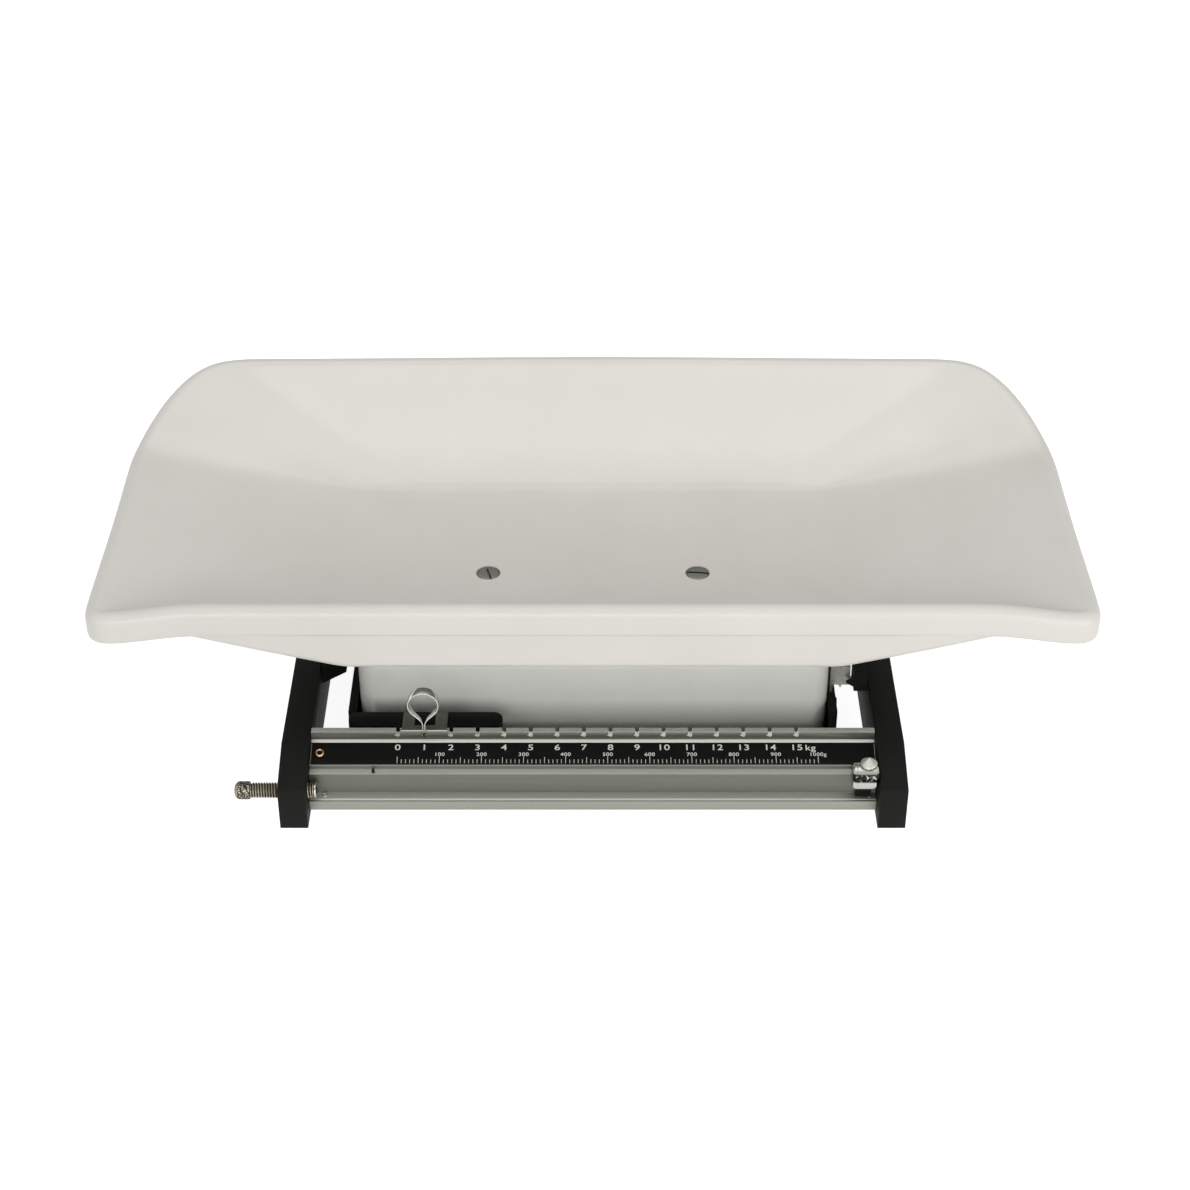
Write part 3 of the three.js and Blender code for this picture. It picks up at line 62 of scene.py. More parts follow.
def add_node(finish, kind, inputs=None, **settings):
    """Adds a node. Its inputs go by identifier, and are plain values or sockets of earlier nodes."""
    node = finish.node_tree.nodes.new("ShaderNode" + kind)
    for name, value in settings.items():
        setattr(node, name, value)
    sockets = {socket.identifier: socket for socket in node.inputs}
    for name, value in (inputs or {}).items():
        if isinstance(value, bpy.types.NodeSocket):
            finish.node_tree.links.new(value, sockets[name])
        else:
            sockets[name].default_value = value
    return node


def new_finish(name):
    """An empty finish, and the socket that gives each point's place on its piece."""
    finish = bpy.data.materials.new(name)
    finish.use_nodes = True
    finish.node_tree.nodes.clear()
    return finish, add_node(finish, "TexCoord").outputs["Object"]


def slab(x, y, z):
    """A rectangular block between three pairs of limits."""
    size = [high - low for low, high in (x, y, z)]
    centre = [(low + high) / 2 for low, high in (x, y, z)]
    shape = bmesh.new()
    place = Matrix.Translation(centre) @ Matrix.Diagonal((*size, 1))
    bmesh.ops.create_cube(shape, size=1, matrix=place)
    return shape


def round_edges(shape, edges, radius, segments):
    bmesh.ops.bevel(
        shape, geom=edges, offset=radius, offset_type="OFFSET", segments=segments,
        profile=0.5, affect="EDGES", material=-1, clamp_overlap=True,
    )


def pressed_box(x, y, z, corner, edge, segments):
    """A box with its upright edges rounded, then its top edges."""
    shape = slab(x, y, z)
    upright = [e for e in shape.edges if abs(e.verts[0].co.z - e.verts[1].co.z) > 1]
    round_edges(shape, upright, corner, segments)
    top = [e for e in shape.edges if min(v.co.z for v in e.verts) > z[1] - 0.01]
    round_edges(shape, top, edge, segments)
    return shape


arms_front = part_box("left_arm")[0].y


def object_from(name, shape, finish):
    """Turns a shape from millimetres into an object in the frame, with its place in its mesh."""
    bmesh.ops.remove_doubles(shape, verts=shape.verts, dist=0.001)
    bmesh.ops.recalc_face_normals(shape, faces=shape.faces)
    bmesh.ops.scale(shape, vec=(0.001, 0.001, 0.001), verts=shape.verts)
    bmesh.ops.translate(shape, vec=(0, arms_front, 0), verts=shape.verts)
    mesh = bpy.data.meshes.new(name)
    shape.to_mesh(mesh)
    shape.free()
    mesh.materials.append(finish)
    thing = bpy.data.objects.new(name, mesh)
    bpy.context.scene.collection.objects.link(thing)
    return thing


def shade(mesh, sharp):
    mesh.shade_smooth()
    mesh.set_sharp_from_angle(angle=math.radians(sharp))


def make_piece(name, shape, body, finish, replaced=(), sharp=35):
    piece = object_from(name, shape, finish)
    shade(piece.data, sharp)
    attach(piece, body)
    if replaced:
        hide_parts(*replaced)
    return piece


def settle(piece, sharp=35):
    """Makes what a piece's modifiers give its own mesh."""
    bpy.context.view_layer.update()
    graph = bpy.context.evaluated_depsgraph_get()
    piece.data = bpy.data.meshes.new_from_object(piece.evaluated_get(graph), depsgraph=graph)
    piece.modifiers.clear()
    shade(piece.data, sharp)


def cut_away(piece, *cutters, finish=None, sharp=35):
    """Cuts shapes out of a piece, after its other modifiers. The cut faces may have their own finish."""
    tools = [object_from("cutter", cutter, finish or piece.data.materials[0]) for cutter in cutters]
    for tool in tools:
        cut = piece.modifiers.new("cut", "BOOLEAN")
        cut.object = tool
        cut.solver = "EXACT"
        cut.material_mode = "TRANSFER"
    settle(piece, sharp)
    for tool in tools:
        bpy.data.meshes.remove(tool.data)


def dress(finish, *nodes):
    """Gives its finish to each CAD node whose shape is right as it is."""
    for name in nodes:
        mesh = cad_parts[name].data
        mesh.materials.clear()
        mesh.materials.append(finish)


# Black stoved enamel: a satin paint film whose fine orange peel, about 0.6 mm across, breaks up the
# highlights, with a little dust that greys it unevenly.
black_enamel, place = new_finish("black_stoved_enamel")
peel = add_node(black_enamel, "TexNoise", {"Vector": place, "Scale": 1600.0, "Detail": 2.0})
dust = add_node(black_enamel, "TexNoise", {"Vector": place, "Scale": 40.0, "Detail": 6.0, "Roughness": 0.6})
tone = add_node(black_enamel, "Mix", {
    "Factor_Float": dust.outputs["Fac"], "A_Color": linear("0d0e0b"), "B_Color": linear("161713"),
}, data_type="RGBA")
sheen = add_node(black_enamel, "MapRange", {"Value": dust.outputs["Fac"], "To Min": 0.52, "To Max": 0.66})
bump = add_node(black_enamel, "Bump", {"Strength": 0.12, "Distance": 0.0002, "Height": peel.outputs["Fac"]})
paint = add_node(black_enamel, "BsdfPrincipled", {
    "Base Color": tone.outputs[2], "Roughness": sheen.outputs["Result"], "IOR": 1.5,
    "Specular IOR Level": 0.12, "Normal": bump.outputs["Normal"],
})
add_node(black_enamel, "OutputMaterial", {"Surface": paint.outputs["BSDF"]})

PAN_HALF = 139.5
PAN_FRONT = 67
PAN_BACK = 221
PAN_BASE = 8
PAN_TOP = 36
PAN_SHEET = 1.5
FLANGE_EDGE = 134.5
LOW_WALL_TOP = 20
KNIFE_NOTCH = ((-111, -99), (17, 29))
NOSE_GAP = ((183, 201), (15.7, 31))
BRACKET_GAP = (87.7, 102.3)
pan = make_piece(
    "chassis_folded_pan",
    pressed_box((-PAN_HALF, PAN_HALF), (PAN_FRONT, PAN_BACK), (PAN_BASE, PAN_TOP), 4, 1.2, 5),
    "base", black_enamel, ["chassis_pan"],
)
cut_away(
    pan,
    slab(
        (PAN_SHEET - PAN_HALF, PAN_HALF - PAN_SHEET), (PAN_FRONT + PAN_SHEET, PAN_BACK - PAN_SHEET),
        (PAN_BASE + PAN_SHEET, PAN_TOP - PAN_SHEET),
    ),
    slab((-FLANGE_EDGE, FLANGE_EDGE), (PAN_FRONT - 7, PAN_BACK + 9), (LOW_WALL_TOP, PAN_TOP + 4)),
    slab(KNIFE_NOTCH[0], (PAN_FRONT - 7, PAN_FRONT + 5), KNIFE_NOTCH[1]),
    slab(KNIFE_NOTCH[0], (PAN_BACK - 5, PAN_BACK + 9), KNIFE_NOTCH[1]),
    slab((-PAN_HALF - 5.5, -PAN_HALF + 2.5), *NOSE_GAP),
    slab((FLANGE_EDGE - 1.5, PAN_HALF - PAN_SHEET), BRACKET_GAP, (PAN_TOP - 3, PAN_TOP + 4)),
)


# Rubber feet
# Four moulded black rubber feet, hollowed a little underneath. Each has a neck and a barbed stem that
# is pulled through a hole in the pan's floor.


def turned(profile, centre, axis="Z", steps=48):
    """Spins (radius, distance) points about an axis through a centre."""
    along = Vector((0, 0, 1)) if axis == "Z" else Vector((1, 0, 0))
    out = Vector((1, 0, 0)) if axis == "Z" else Vector((0, 0, 1))
    shape = bmesh.new()
    points = [shape.verts.new(Vector(centre) + along * d + out * r) for r, d in profile]
    edges = [shape.edges.new(pair) for pair in zip(points, points[1:])]
    bmesh.ops.spin(
        shape, geom=points + edges, cent=centre, axis=along, dvec=(0, 0, 0),
        angle=math.tau, steps=steps, use_merge=True, use_duplicate=False,
    )
    bmesh.ops.remove_doubles(shape, verts=shape.verts, dist=0.001)
    return shape


def rod(radius, start, end, centre, axis="Z", steps=48):
    """A plain round bar along an axis, as long as the piece or the bore that it makes."""
    return turned([(0, start), (radius, start), (radius, end), (0, end)], centre, axis, steps)


def grained_finish(name, noise, dark, pale, shader, relief=None, wear=None):
    """A finish whose one grain mixes two colours, and may raise a relief and vary the roughness."""
    finish, place = new_finish(name)
    grain = add_node(finish, "TexNoise", {"Vector": place, **noise}).outputs["Fac"]
    tone = add_node(finish, "Mix", {
        "Factor_Float": grain, "A_Color": linear(dark), "B_Color": linear(pale),
    }, data_type="RGBA")
    inputs = {"Base Color": tone.outputs[2], **shader}
    if relief:
        strength, depth = relief
        bump = add_node(finish, "Bump", {"Strength": strength, "Distance": depth, "Height": grain})
        inputs["Normal"] = bump.outputs["Normal"]
    if wear:
        low, high = wear
        dulling = add_node(finish, "MapRange", {"Value": grain, "To Min": low, "To Max": high})
        inputs["Roughness"] = dulling.outputs["Result"]
    skin = add_node(finish, "BsdfPrincipled", inputs)
    add_node(finish, "OutputMaterial", {"Surface": skin.outputs["BSDF"]})
    return finish


# Moulded rubber: dull, nearly black, with a fine sandblasted mould texture of about 0.5 mm.
rubber = grained_finish(
    "moulded_black_rubber", {"Scale": 2000.0, "Detail": 3.0}, "1d1d1c", "2b2b29",
    {"Roughness": 0.8, "IOR": 1.52}, relief=(0.3, 0.0002),
)

FOOT_PROFILE = [
    (0, 0.8), (6.8, 0.8), (7.2, 0), (8.3, 0), (9.2, 0.4), (9.6, 1.3), (10, 7.2), (9.6, 7.7), (2.5, 7.7),
    (2.5, 9.8), (3.9, 9.8), (1.9, 11.8), (0, 11.9),
]
for number in (1, 2, 3, 4):
    low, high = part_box(f"foot_{number}")
    centre = ((low.x + high.x) * 500, ((low.y + high.y) / 2 - arms_front) * 1000, 0)
    make_piece(
        f"moulded_foot_{number}", turned(FOOT_PROFILE, centre),
        "base", rubber, [f"foot_{number}"],
    )


# Base cover
# A deep cover pressed from thin steel sheet, with generous round corners, that stands in the pan on an
# inturned lip. It is gapped for the bearings and the lever's nose, and holed for the two tray posts.

# Light gloss enamel: a smooth paint film with a slow orange peel of about 3 mm, so that reflections
# waver a little, over a faintly uneven warm grey.
light_enamel, place = new_finish("light_grey_stoved_enamel")
peel = add_node(light_enamel, "TexNoise", {"Vector": place, "Scale": 330.0, "Detail": 2.0})
cloud = add_node(light_enamel, "TexNoise", {"Vector": place, "Scale": 25.0, "Detail": 4.0})
tone = add_node(light_enamel, "Mix", {
    "Factor_Float": cloud.outputs["Fac"], "A_Color": linear("d5d6cf"), "B_Color": linear("dfe0d9"),
}, data_type="RGBA")
bump = add_node(light_enamel, "Bump", {"Strength": 0.06, "Distance": 0.0004, "Height": peel.outputs["Fac"]})
paint = add_node(light_enamel, "BsdfPrincipled", {
    "Base Color": tone.outputs[2], "Roughness": 0.2, "IOR": 1.5, "Normal": bump.outputs["Normal"],
})
add_node(light_enamel, "OutputMaterial", {"Surface": paint.outputs["BSDF"]})

POST_X = 60.8
POST_Y = 138
POST_HOLE = 10
SCREW_X = 123.5
SCREW_HOLE = 4.2
COVER_LEFT = -133.4
COVER_RIGHT = 134.2
COVER_FRONT = 73.5
COVER_BACK = 214.5
COVER_BASE = 9.8
COVER_TOP = 72.3
COVER_CORNER = 11
COVER_EDGE = 9
COVER_SHEET = 1.2
LIP_WIDTH = 7
BEARING_GAP = ((-116, -94), (8, 29))


def cover_box(inset):
    """The pressed cover's outline, or at one sheet's thickness inside it its hollow."""
    return pressed_box(
        (COVER_LEFT + inset, COVER_RIGHT - inset), (COVER_FRONT + inset, COVER_BACK - inset),
        (COVER_BASE + inset, COVER_TOP - inset), COVER_CORNER - inset, COVER_EDGE - inset, 12,
    )


cover = make_piece("pressed_cover", cover_box(0), "base", light_enamel, ["base_cover"])
cut_away(
    cover,
    cover_box(COVER_SHEET),
    slab((-126, 126), (COVER_FRONT + LIP_WIDTH, COVER_BACK - LIP_WIDTH), (8, 15)),
    slab(BEARING_GAP[0], (COVER_FRONT - 1.5, COVER_FRONT + 8), BEARING_GAP[1]),
    slab(BEARING_GAP[0], (COVER_BACK - 8, COVER_BACK + 1.5), BEARING_GAP[1]),
    slab((-134, -130.8), *NOSE_GAP),
    *[rod(POST_HOLE, 60, 80, (side * POST_X, POST_Y, 0)) for side in (-1, 1)],
    *[rod(SCREW_HOLE, 8, 14, (x, y, 0), steps=24) for x in (-SCREW_X, SCREW_X) for y in (83, 205)],
)


# Cover screws
# Four small screws of nickel plated steel, that go up through the pan's floor and hold the cover's lip
# to it.

# Bright nickel plate: a slightly warm metal with fine turning marks of about 0.25 mm.
nickel = grained_finish(
    "nickel_plated_steel", {"Scale": 1200.0, "Detail": 4.0, "Roughness": 0.6}, "8f887a", "c2bba9",
    {"Metallic": 1.0}, relief=(0.1, 0.0001), wear=(0.18, 0.36),
)
dress(nickel, "cover_screw_1", "cover_screw_2", "cover_screw_3", "cover_screw_4")


# Knives, bearings and links
# Hardened and ground bars and V bearings on which the beam and both levers rock, and the two flat
# loops that join them.


def lengthwise_lines(finish, place, along, across, detail):
    """Noise drawn out along X into fine lines. Its scales are per metre."""
    stretch = add_node(finish, "Mapping", {"Vector": place, "Scale": (along, across, across)})
    return add_node(finish, "TexNoise", {
        "Vector": stretch.outputs["Vector"], "Scale": 1.0, "Detail": detail,
    })


# Ground steel: a cool grey with straight grinding lines along X, about 0.15 mm apart.
ground_steel, place = new_finish("hardened_ground_steel")
lines = lengthwise_lines(ground_steel, place, 60, 4000, 3.0)
tone = add_node(ground_steel, "Mix", {
    "Factor_Float": lines.outputs["Fac"], "A_Color": linear("6d6e70"), "B_Color": linear("9a9b9d"),
}, data_type="RGBA")
bump = add_node(ground_steel, "Bump", {"Strength": 0.15, "Distance": 0.0001, "Height": lines.outputs["Fac"]})
steel = add_node(ground_steel, "BsdfPrincipled", {
    "Base Color": tone.outputs[2], "Metallic": 1.0, "Roughness": 0.34, "Normal": bump.outputs["Normal"],
})
add_node(ground_steel, "OutputMaterial", {"Surface": steel.outputs["BSDF"]})
dress(
    ground_steel,
    "beam_bearing_front", "beam_bearing_rear", "long_lever_bearing_front", "long_lever_bearing_rear",
    "short_lever_bearing_front", "short_lever_bearing_rear", "carrier_bearing_right",
    "carrier_bearing_left", "rear_fulcrum_knife", "front_fulcrum_knife", "beam_load_knife",
    "long_fulcrum_knife", "long_load_knife", "nose_knife", "long_link_knife", "short_fulcrum_knife",
    "short_load_knife", "short_link_knife", "nose_link", "centre_link",
)


# Levers and carrier plate
# Two levers and the plate that carries the tray's posts, cut from steel plate and left as it came from
# the rolling mill, lightly oiled.

# Rolled steel: blue grey mill scale in soft patches of about 8 mm, with a dull gleam.
rolled_steel = grained_finish(
    "rolled_steel_plate", {"Scale": 120.0, "Detail": 8.0}, "4a4d50", "73777a",
    {"Metallic": 1.0}, relief=(0.1, 0.0002), wear=(0.4, 0.65),
)
dress(rolled_steel, "long_lever", "short_lever", "carrier_plate")


# Index bracket and tray posts
# The bracket beside the balance pointer is bent from zinc plated sheet steel and screwed to the pan. The
# two posts that carry the tray are turned and plated too.

# Zinc plate: pale grey crystals about 1.5 mm across with soft edges, satin.
zinc, place = new_finish("zinc_plated_steel")
crystals = add_node(zinc, "TexVoronoi", {"Vector": place, "Scale": 650.0})
haze = add_node(zinc, "TexNoise", {"Vector": place, "Scale": 300.0, "Detail": 5.0})
blend = add_node(zinc, "Math", {
    "Value": crystals.outputs["Distance"], "Value_001": haze.outputs["Fac"],
}, operation="MULTIPLY")
tone = add_node(zinc, "Mix", {
    "Factor_Float": blend.outputs["Value"], "A_Color": linear("c6c6be"), "B_Color": linear("8e8d86"),
}, data_type="RGBA")
bump = add_node(zinc, "Bump", {"Strength": 0.2, "Distance": 0.0001, "Height": haze.outputs["Fac"]})
plate = add_node(zinc, "BsdfPrincipled", {
    "Base Color": tone.outputs[2], "Metallic": 1.0, "Roughness": 0.42, "Normal": bump.outputs["Normal"],
})
add_node(zinc, "OutputMaterial", {"Surface": plate.outputs["BSDF"]})
dress(zinc, "index_bracket", "tray_post_left", "tray_post_right")


# Side arms and rear bar
# Two long channels folded from steel sheet, closed in front by a bent face and open underneath, and
# a bar that joins them at the back. The zero adjuster's bore goes through the left arm.


def drawn_out(points, axis, start, end):
    """Draws an outline straight out, along X from (y, z) points or along Y from (x, z) points."""
    corners = [(start, a, b) if axis == "X" else (a, start, b) for a, b in points]
    shape = bmesh.new()
    face = shape.faces.new([shape.verts.new(corner) for corner in corners])
    drawn = bmesh.ops.extrude_face_region(shape, geom=[face])
    moved = [v for v in drawn["geom"] if isinstance(v, bmesh.types.BMVert)]
    way = Vector((end - start, 0, 0)) if axis == "X" else Vector((0, end - start, 0))
    bmesh.ops.translate(shape, vec=way, verts=moved)
    bmesh.ops.recalc_face_normals(shape, faces=shape.faces)
    return shape


ARM_BACK = 236
ARM_TOP = 44.7
ARM_FOOT = 8
ARM_INNER = 157.2
ARM_OUTER = 172.7
ARM_SHEET = 1.6
ARM_OUTLINE = [(0, ARM_FOOT), (ARM_BACK, ARM_FOOT), (ARM_BACK, ARM_TOP), (31.3, ARM_TOP), (0, 35)]
ARM_HOLLOW = [
    (ARM_SHEET, 0), (ARM_BACK - ARM_SHEET, 0), (ARM_BACK - ARM_SHEET, ARM_TOP - ARM_SHEET),
    (31.8, ARM_TOP - ARM_SHEET), (ARM_SHEET, 33.8),
]
ADJUSTER_AXIS = (0, 11, 26.5)
for side, name in ((-1, "left"), (1, "right")):
    shape = drawn_out(ARM_OUTLINE, "X", side * ARM_INNER, side * ARM_OUTER)
    bent = [e for e in shape.edges if min(v.co.z for v in e.verts) > 20 or max(v.co.y for v in e.verts) < 1]
    round_edges(shape, bent, 0.9, 3)
    arm = make_piece(f"folded_{name}_arm", shape, "beam_frame", black_enamel, [f"{name}_arm"])
    cutters = [drawn_out(ARM_HOLLOW, "X", side * (ARM_INNER + ARM_SHEET), side * (ARM_OUTER - ARM_SHEET))]
    if name == "left":
        cutters.append(rod(4.9, -180, -150, ADJUSTER_AXIS, "X", 32))
    cut_away(arm, *cutters)
dress(
    black_enamel,
    "rear_crossbar", "front_fulcrum_bracket", "left_arm_boss", "balance_pointer", "index_bracket_screw",
)


# Beam rail
# One aluminium extrusion: a notched upright rail at the back, a sloping bed for the scale plate, a
# ridge that the small poise slides along and a channel in front. The notches are milled afterwards.

# Anodised aluminium: a dull grey skin with the die's lines along X about 0.3 mm apart, so that highlights
# streak lengthwise. Its dark grey is partly the real anodising and partly painted shade, standing for dark
# reflections on the upright faces. The front lip, below a height of 18.5 mm, is painted paler as a painted
# highlight.
anodised, place = new_finish("anodised_aluminium_extrusion")
lines = lengthwise_lines(anodised, place, 12, 2500, 4.0)
tone = add_node(anodised, "Mix", {
    "Factor_Float": lines.outputs["Fac"], "A_Color": linear("5c5d56"), "B_Color": linear("70716a"),
}, data_type="RGBA")
height = add_node(anodised, "SeparateXYZ", {"Vector": place}).outputs["Z"]
# Painted highlight: below a height of 18.5 mm the front lip's colour is mixed to a paler grey.
lip = add_node(anodised, "MapRange", {"Value": height, "From Min": 0.0188, "From Max": 0.0182})
tone = add_node(anodised, "Mix", {
    "Factor_Float": lip.outputs["Result"], "A_Color": tone.outputs[2], "B_Color": linear("8f8e86"),
}, data_type="RGBA")
gleam = add_node(anodised, "MapRange", {"Value": lines.outputs["Fac"], "To Min": 0.42, "To Max": 0.56})
bump = add_node(anodised, "Bump", {"Strength": 0.12, "Distance": 0.0001, "Height": lines.outputs["Fac"]})
metal = add_node(anodised, "BsdfPrincipled", {
    "Base Color": tone.outputs[2], "Metallic": 1.0, "Roughness": gleam.outputs["Result"],
    "Normal": bump.outputs["Normal"],
})
add_node(anodised, "OutputMaterial", {"Surface": metal.outputs["BSDF"]})

# Lit aluminium: a paler copy of the anodised skin, with the same lengthwise lines, for the faces that look
# up. Its paleness is painted light, where those faces catch more light than the upright sides.
lit_upper_aluminium, place = new_finish("aluminium_painted_light_on_top")
lines = lengthwise_lines(lit_upper_aluminium, place, 12, 2500, 4.0)
tone = add_node(lit_upper_aluminium, "Mix", {
    "Factor_Float": lines.outputs["Fac"], "A_Color": linear("a7a79f"), "B_Color": linear("bfbfb8"),
}, data_type="RGBA")
metal = add_node(lit_upper_aluminium, "BsdfPrincipled", {
    "Base Color": tone.outputs[2], "Metallic": 1.0, "Roughness": 0.48,
})
add_node(lit_upper_aluminium, "OutputMaterial", {"Surface": metal.outputs["BSDF"]})

# Milled aluminium: brighter and rougher than the anodised skin, with cutter marks of 0.2 mm. Its paleness is
# partly painted light on faces that look up: grey on the rail's top, above a height of 45 mm, and near white
# in the notches, below it, as painted glints.
milled_and_painted_light, place = new_finish("milled_aluminium_with_painted_light")
marks = add_node(milled_and_painted_light, "TexNoise", {"Vector": place, "Scale": 3000.0, "Detail": 2.0})
bump = add_node(milled_and_painted_light, "Bump", {"Strength": 0.3, "Distance": 0.0001, "Height": marks.outputs["Fac"]})
height = add_node(milled_and_painted_light, "SeparateXYZ", {"Vector": place}).outputs["Z"]
# Painted glint: below a height of 44.8 mm, in the notches, the colour goes near white.
notch_glint = add_node(milled_and_painted_light, "MapRange", {"Value": height, "From Min": 0.0453, "From Max": 0.0448})
tone = add_node(milled_and_painted_light, "Mix", {
    "Factor_Float": notch_glint.outputs["Result"], "A_Color": linear("bdbdb7"), "B_Color": linear("f6f6f2"),
}, data_type="RGBA")
metal = add_node(milled_and_painted_light, "BsdfPrincipled", {
    "Base Color": tone.outputs[2], "Metallic": 1.0, "Roughness": 0.6, "Normal": bump.outputs["Normal"],
})
add_node(milled_and_painted_light, "OutputMaterial", {"Surface": metal.outputs["BSDF"]})

RAIL_HALF = 156.9
RAIL_SECTION = [
    (10.5, 12.7), (42.6, 12.7), (42.6, 45.5), (38.3, 45.5), (38.3, 40.4), (37.5, 39.9), (36.9, 39.2),
    (36.9, 38.3), (23, 34.6), (22.5, 34.6), (22.5, 32.2), (17.8, 32.2), (17.8, 19.1), (12.5, 19.1),
    (12.0, 18.5), (11.5, 19.1), (10.5, 19.1),
]
RAIL_HOLLOW = [
    (12.3, 14.5), (40.8, 14.5), (40.8, 38), (35.5, 36.1), (24.2, 32.8), (19.6, 30.2), (19.6, 16.9),
    (12.3, 16.9),
]
NOTCH_ZERO = -108.6
NOTCH_PITCH = 14.8
NOTCHES = 16
shape = drawn_out(RAIL_SECTION, "X", -RAIL_HALF, RAIL_HALF)
long_edges = [e for e in shape.edges if abs(e.verts[0].co.x - e.verts[1].co.x) > 1]
round_edges(shape, long_edges, 0.25, 2)
rail = make_piece("rail_extrusion", shape, "beam_frame", anodised, ["beam_rail"])
NOTCH_SHAPE = [(-1.1, 46.5), (-1.1, 44.3), (-2.0, 43.3), (0.4, 42.4), (1.1, 43.1), (1.1, 46.5)]
notches = [
    drawn_out([(NOTCH_ZERO + number * NOTCH_PITCH + x, z) for x, z in NOTCH_SHAPE], "Y", 36.5, 44.5)
    for number in range(NOTCHES)
]
cut_away(rail, drawn_out(RAIL_HOLLOW, "X", -160, 160), *notches, finish=milled_and_painted_light, sharp=30)

# The rail's top is milled too. It and the other faces that look up get the paler finishes, as painted light.
rail.data.materials.append(lit_upper_aluminium)
finishes = list(rail.data.materials)
for face in rail.data.polygons:
    if face.normal.z > 0.9 and face.center.z > 0.045:
        face.material_index = finishes.index(milled_and_painted_light)
    elif face.material_index == 0 and face.normal.z > 0.5:
        face.material_index = finishes.index(lit_upper_aluminium)


# Scale plate, its figures and its eyelet
# A thin aluminium plate, printed black with white figures and divisions, lies on the sloping bed and
# is held at its left end by a brass eyelet. Its right end is left bare.

# Printed black: a dull ink film with a faint lengthwise grain of 0.2 mm from the plate under it.
printed_black, place = new_finish("black_printed_aluminium")
grain = lengthwise_lines(printed_black, place, 80, 5000, 2.0)
tone = add_node(printed_black, "Mix", {
    "Factor_Float": grain.outputs["Fac"], "A_Color": linear("0a0a09"), "B_Color": linear("121211"),
}, data_type="RGBA")
ink = add_node(printed_black, "BsdfPrincipled", {
    "Base Color": tone.outputs[2], "Roughness": 0.45, "IOR": 1.45, "Specular IOR Level": 0.1,
})
add_node(printed_black, "OutputMaterial", {"Surface": ink.outputs["BSDF"]})
dress(printed_black, "scale_plate")

# White screen ink: matt, with thin places about 0.3 mm across where the black shows through.
white_ink = grained_finish(
    "white_screen_ink", {"Scale": 3000.0, "Detail": 2.0}, "d0d0ca", "f2f2ec",
    {"Roughness": 0.7, "IOR": 1.45},
)

PLATE_FOOT = Vector((0, 23, 34.6))
PLATE_HEAD = Vector((0, 37.3, 38.4))
PLATE_LIFT = 0.96
INK_THICKNESS = 0.04
FONT_PER_FIGURE = 1.4
plate_slope = math.atan2(PLATE_HEAD.z - PLATE_FOOT.z, PLATE_HEAD.y - PLATE_FOOT.y)
plate_up = Vector((0, math.cos(plate_slope), math.sin(plate_slope)))
plate_out = Vector((0, -math.sin(plate_slope), math.cos(plate_slope)))
on_plate = Matrix.Translation(PLATE_FOOT + plate_out * PLATE_LIFT) @ Matrix.Rotation(plate_slope, 4, "X")


def print_text(shape, text, x, up, height, width):
    """Adds text to a shape on the plate, centred at x and at a distance up the slope."""
    label = bpy.data.curves.new("label", "FONT")
    label.body = text
    label.align_x = "CENTER"
    label.align_y = "CENTER"
    label.size = height * FONT_PER_FIGURE
    label.offset = 0.012 * height
    label.extrude = INK_THICKNESS / 2
    label.space_character = 1.08
    thing = bpy.data.objects.new("label", label)
    bpy.context.scene.collection.objects.link(thing)
    bpy.context.view_layer.update()
    mesh = bpy.data.meshes.new_from_object(thing)
    mesh.transform(on_plate @ Matrix.Translation((x, up, 0)) @ Matrix.Diagonal((width, 1, 1, 1)))
    shape.from_mesh(mesh)
    bpy.data.objects.remove(thing)
    bpy.data.meshes.remove(mesh)


def print_line(shape, x, low, high, width):
    bmesh.ops.create_cube(
        shape, size=1,
        matrix=on_plate @ Matrix.Translation((x, (low + high) / 2, 0))
        @ Matrix.Diagonal((width, high - low, INK_THICKNESS, 1)),
    )


GRAM_START = -108.5
GRAM_PITCH = 2.335
BIG_FIGURE = 3.9
SMALL_FIGURE = 2.4
LINE_FOOT = 0.5
LINE_WIDTH = 0.3
figures = bmesh.new()
for number in range(NOTCHES):
    print_text(figures, str(number), NOTCH_ZERO + number * NOTCH_PITCH, 11.2, BIG_FIGURE, 1.25)
print_text(figures, "kg", NOTCH_ZERO + (NOTCHES - 1) * NOTCH_PITCH + 7.6, 11.0, BIG_FIGURE, 1.15)
for hundred in range(1, 11):
    label = "1000g" if hundred == 10 else str(hundred * 100)
    print_text(figures, label, GRAM_START + 10 * hundred * GRAM_PITCH, 6.5, SMALL_FIGURE, 1.1)
for step in range(101):
    line_top = 4.9 if step == 0 else 5.1 if step % 10 == 0 else 4.6 if step % 5 == 0 else 3.1
    print_line(figures, GRAM_START + step * GRAM_PITCH, LINE_FOOT, line_top, LINE_WIDTH)
make_piece("plate_figures", figures, "beam_frame", white_ink)

# Plain brass: warm, with fine pressing marks of about 0.3 mm.
brass = grained_finish(
    "pressed_brass", {"Scale": 1800.0, "Detail": 3.0}, "bd8b60", "e6c39c",
    {"Metallic": 1.0, "Roughness": 0.28},
)

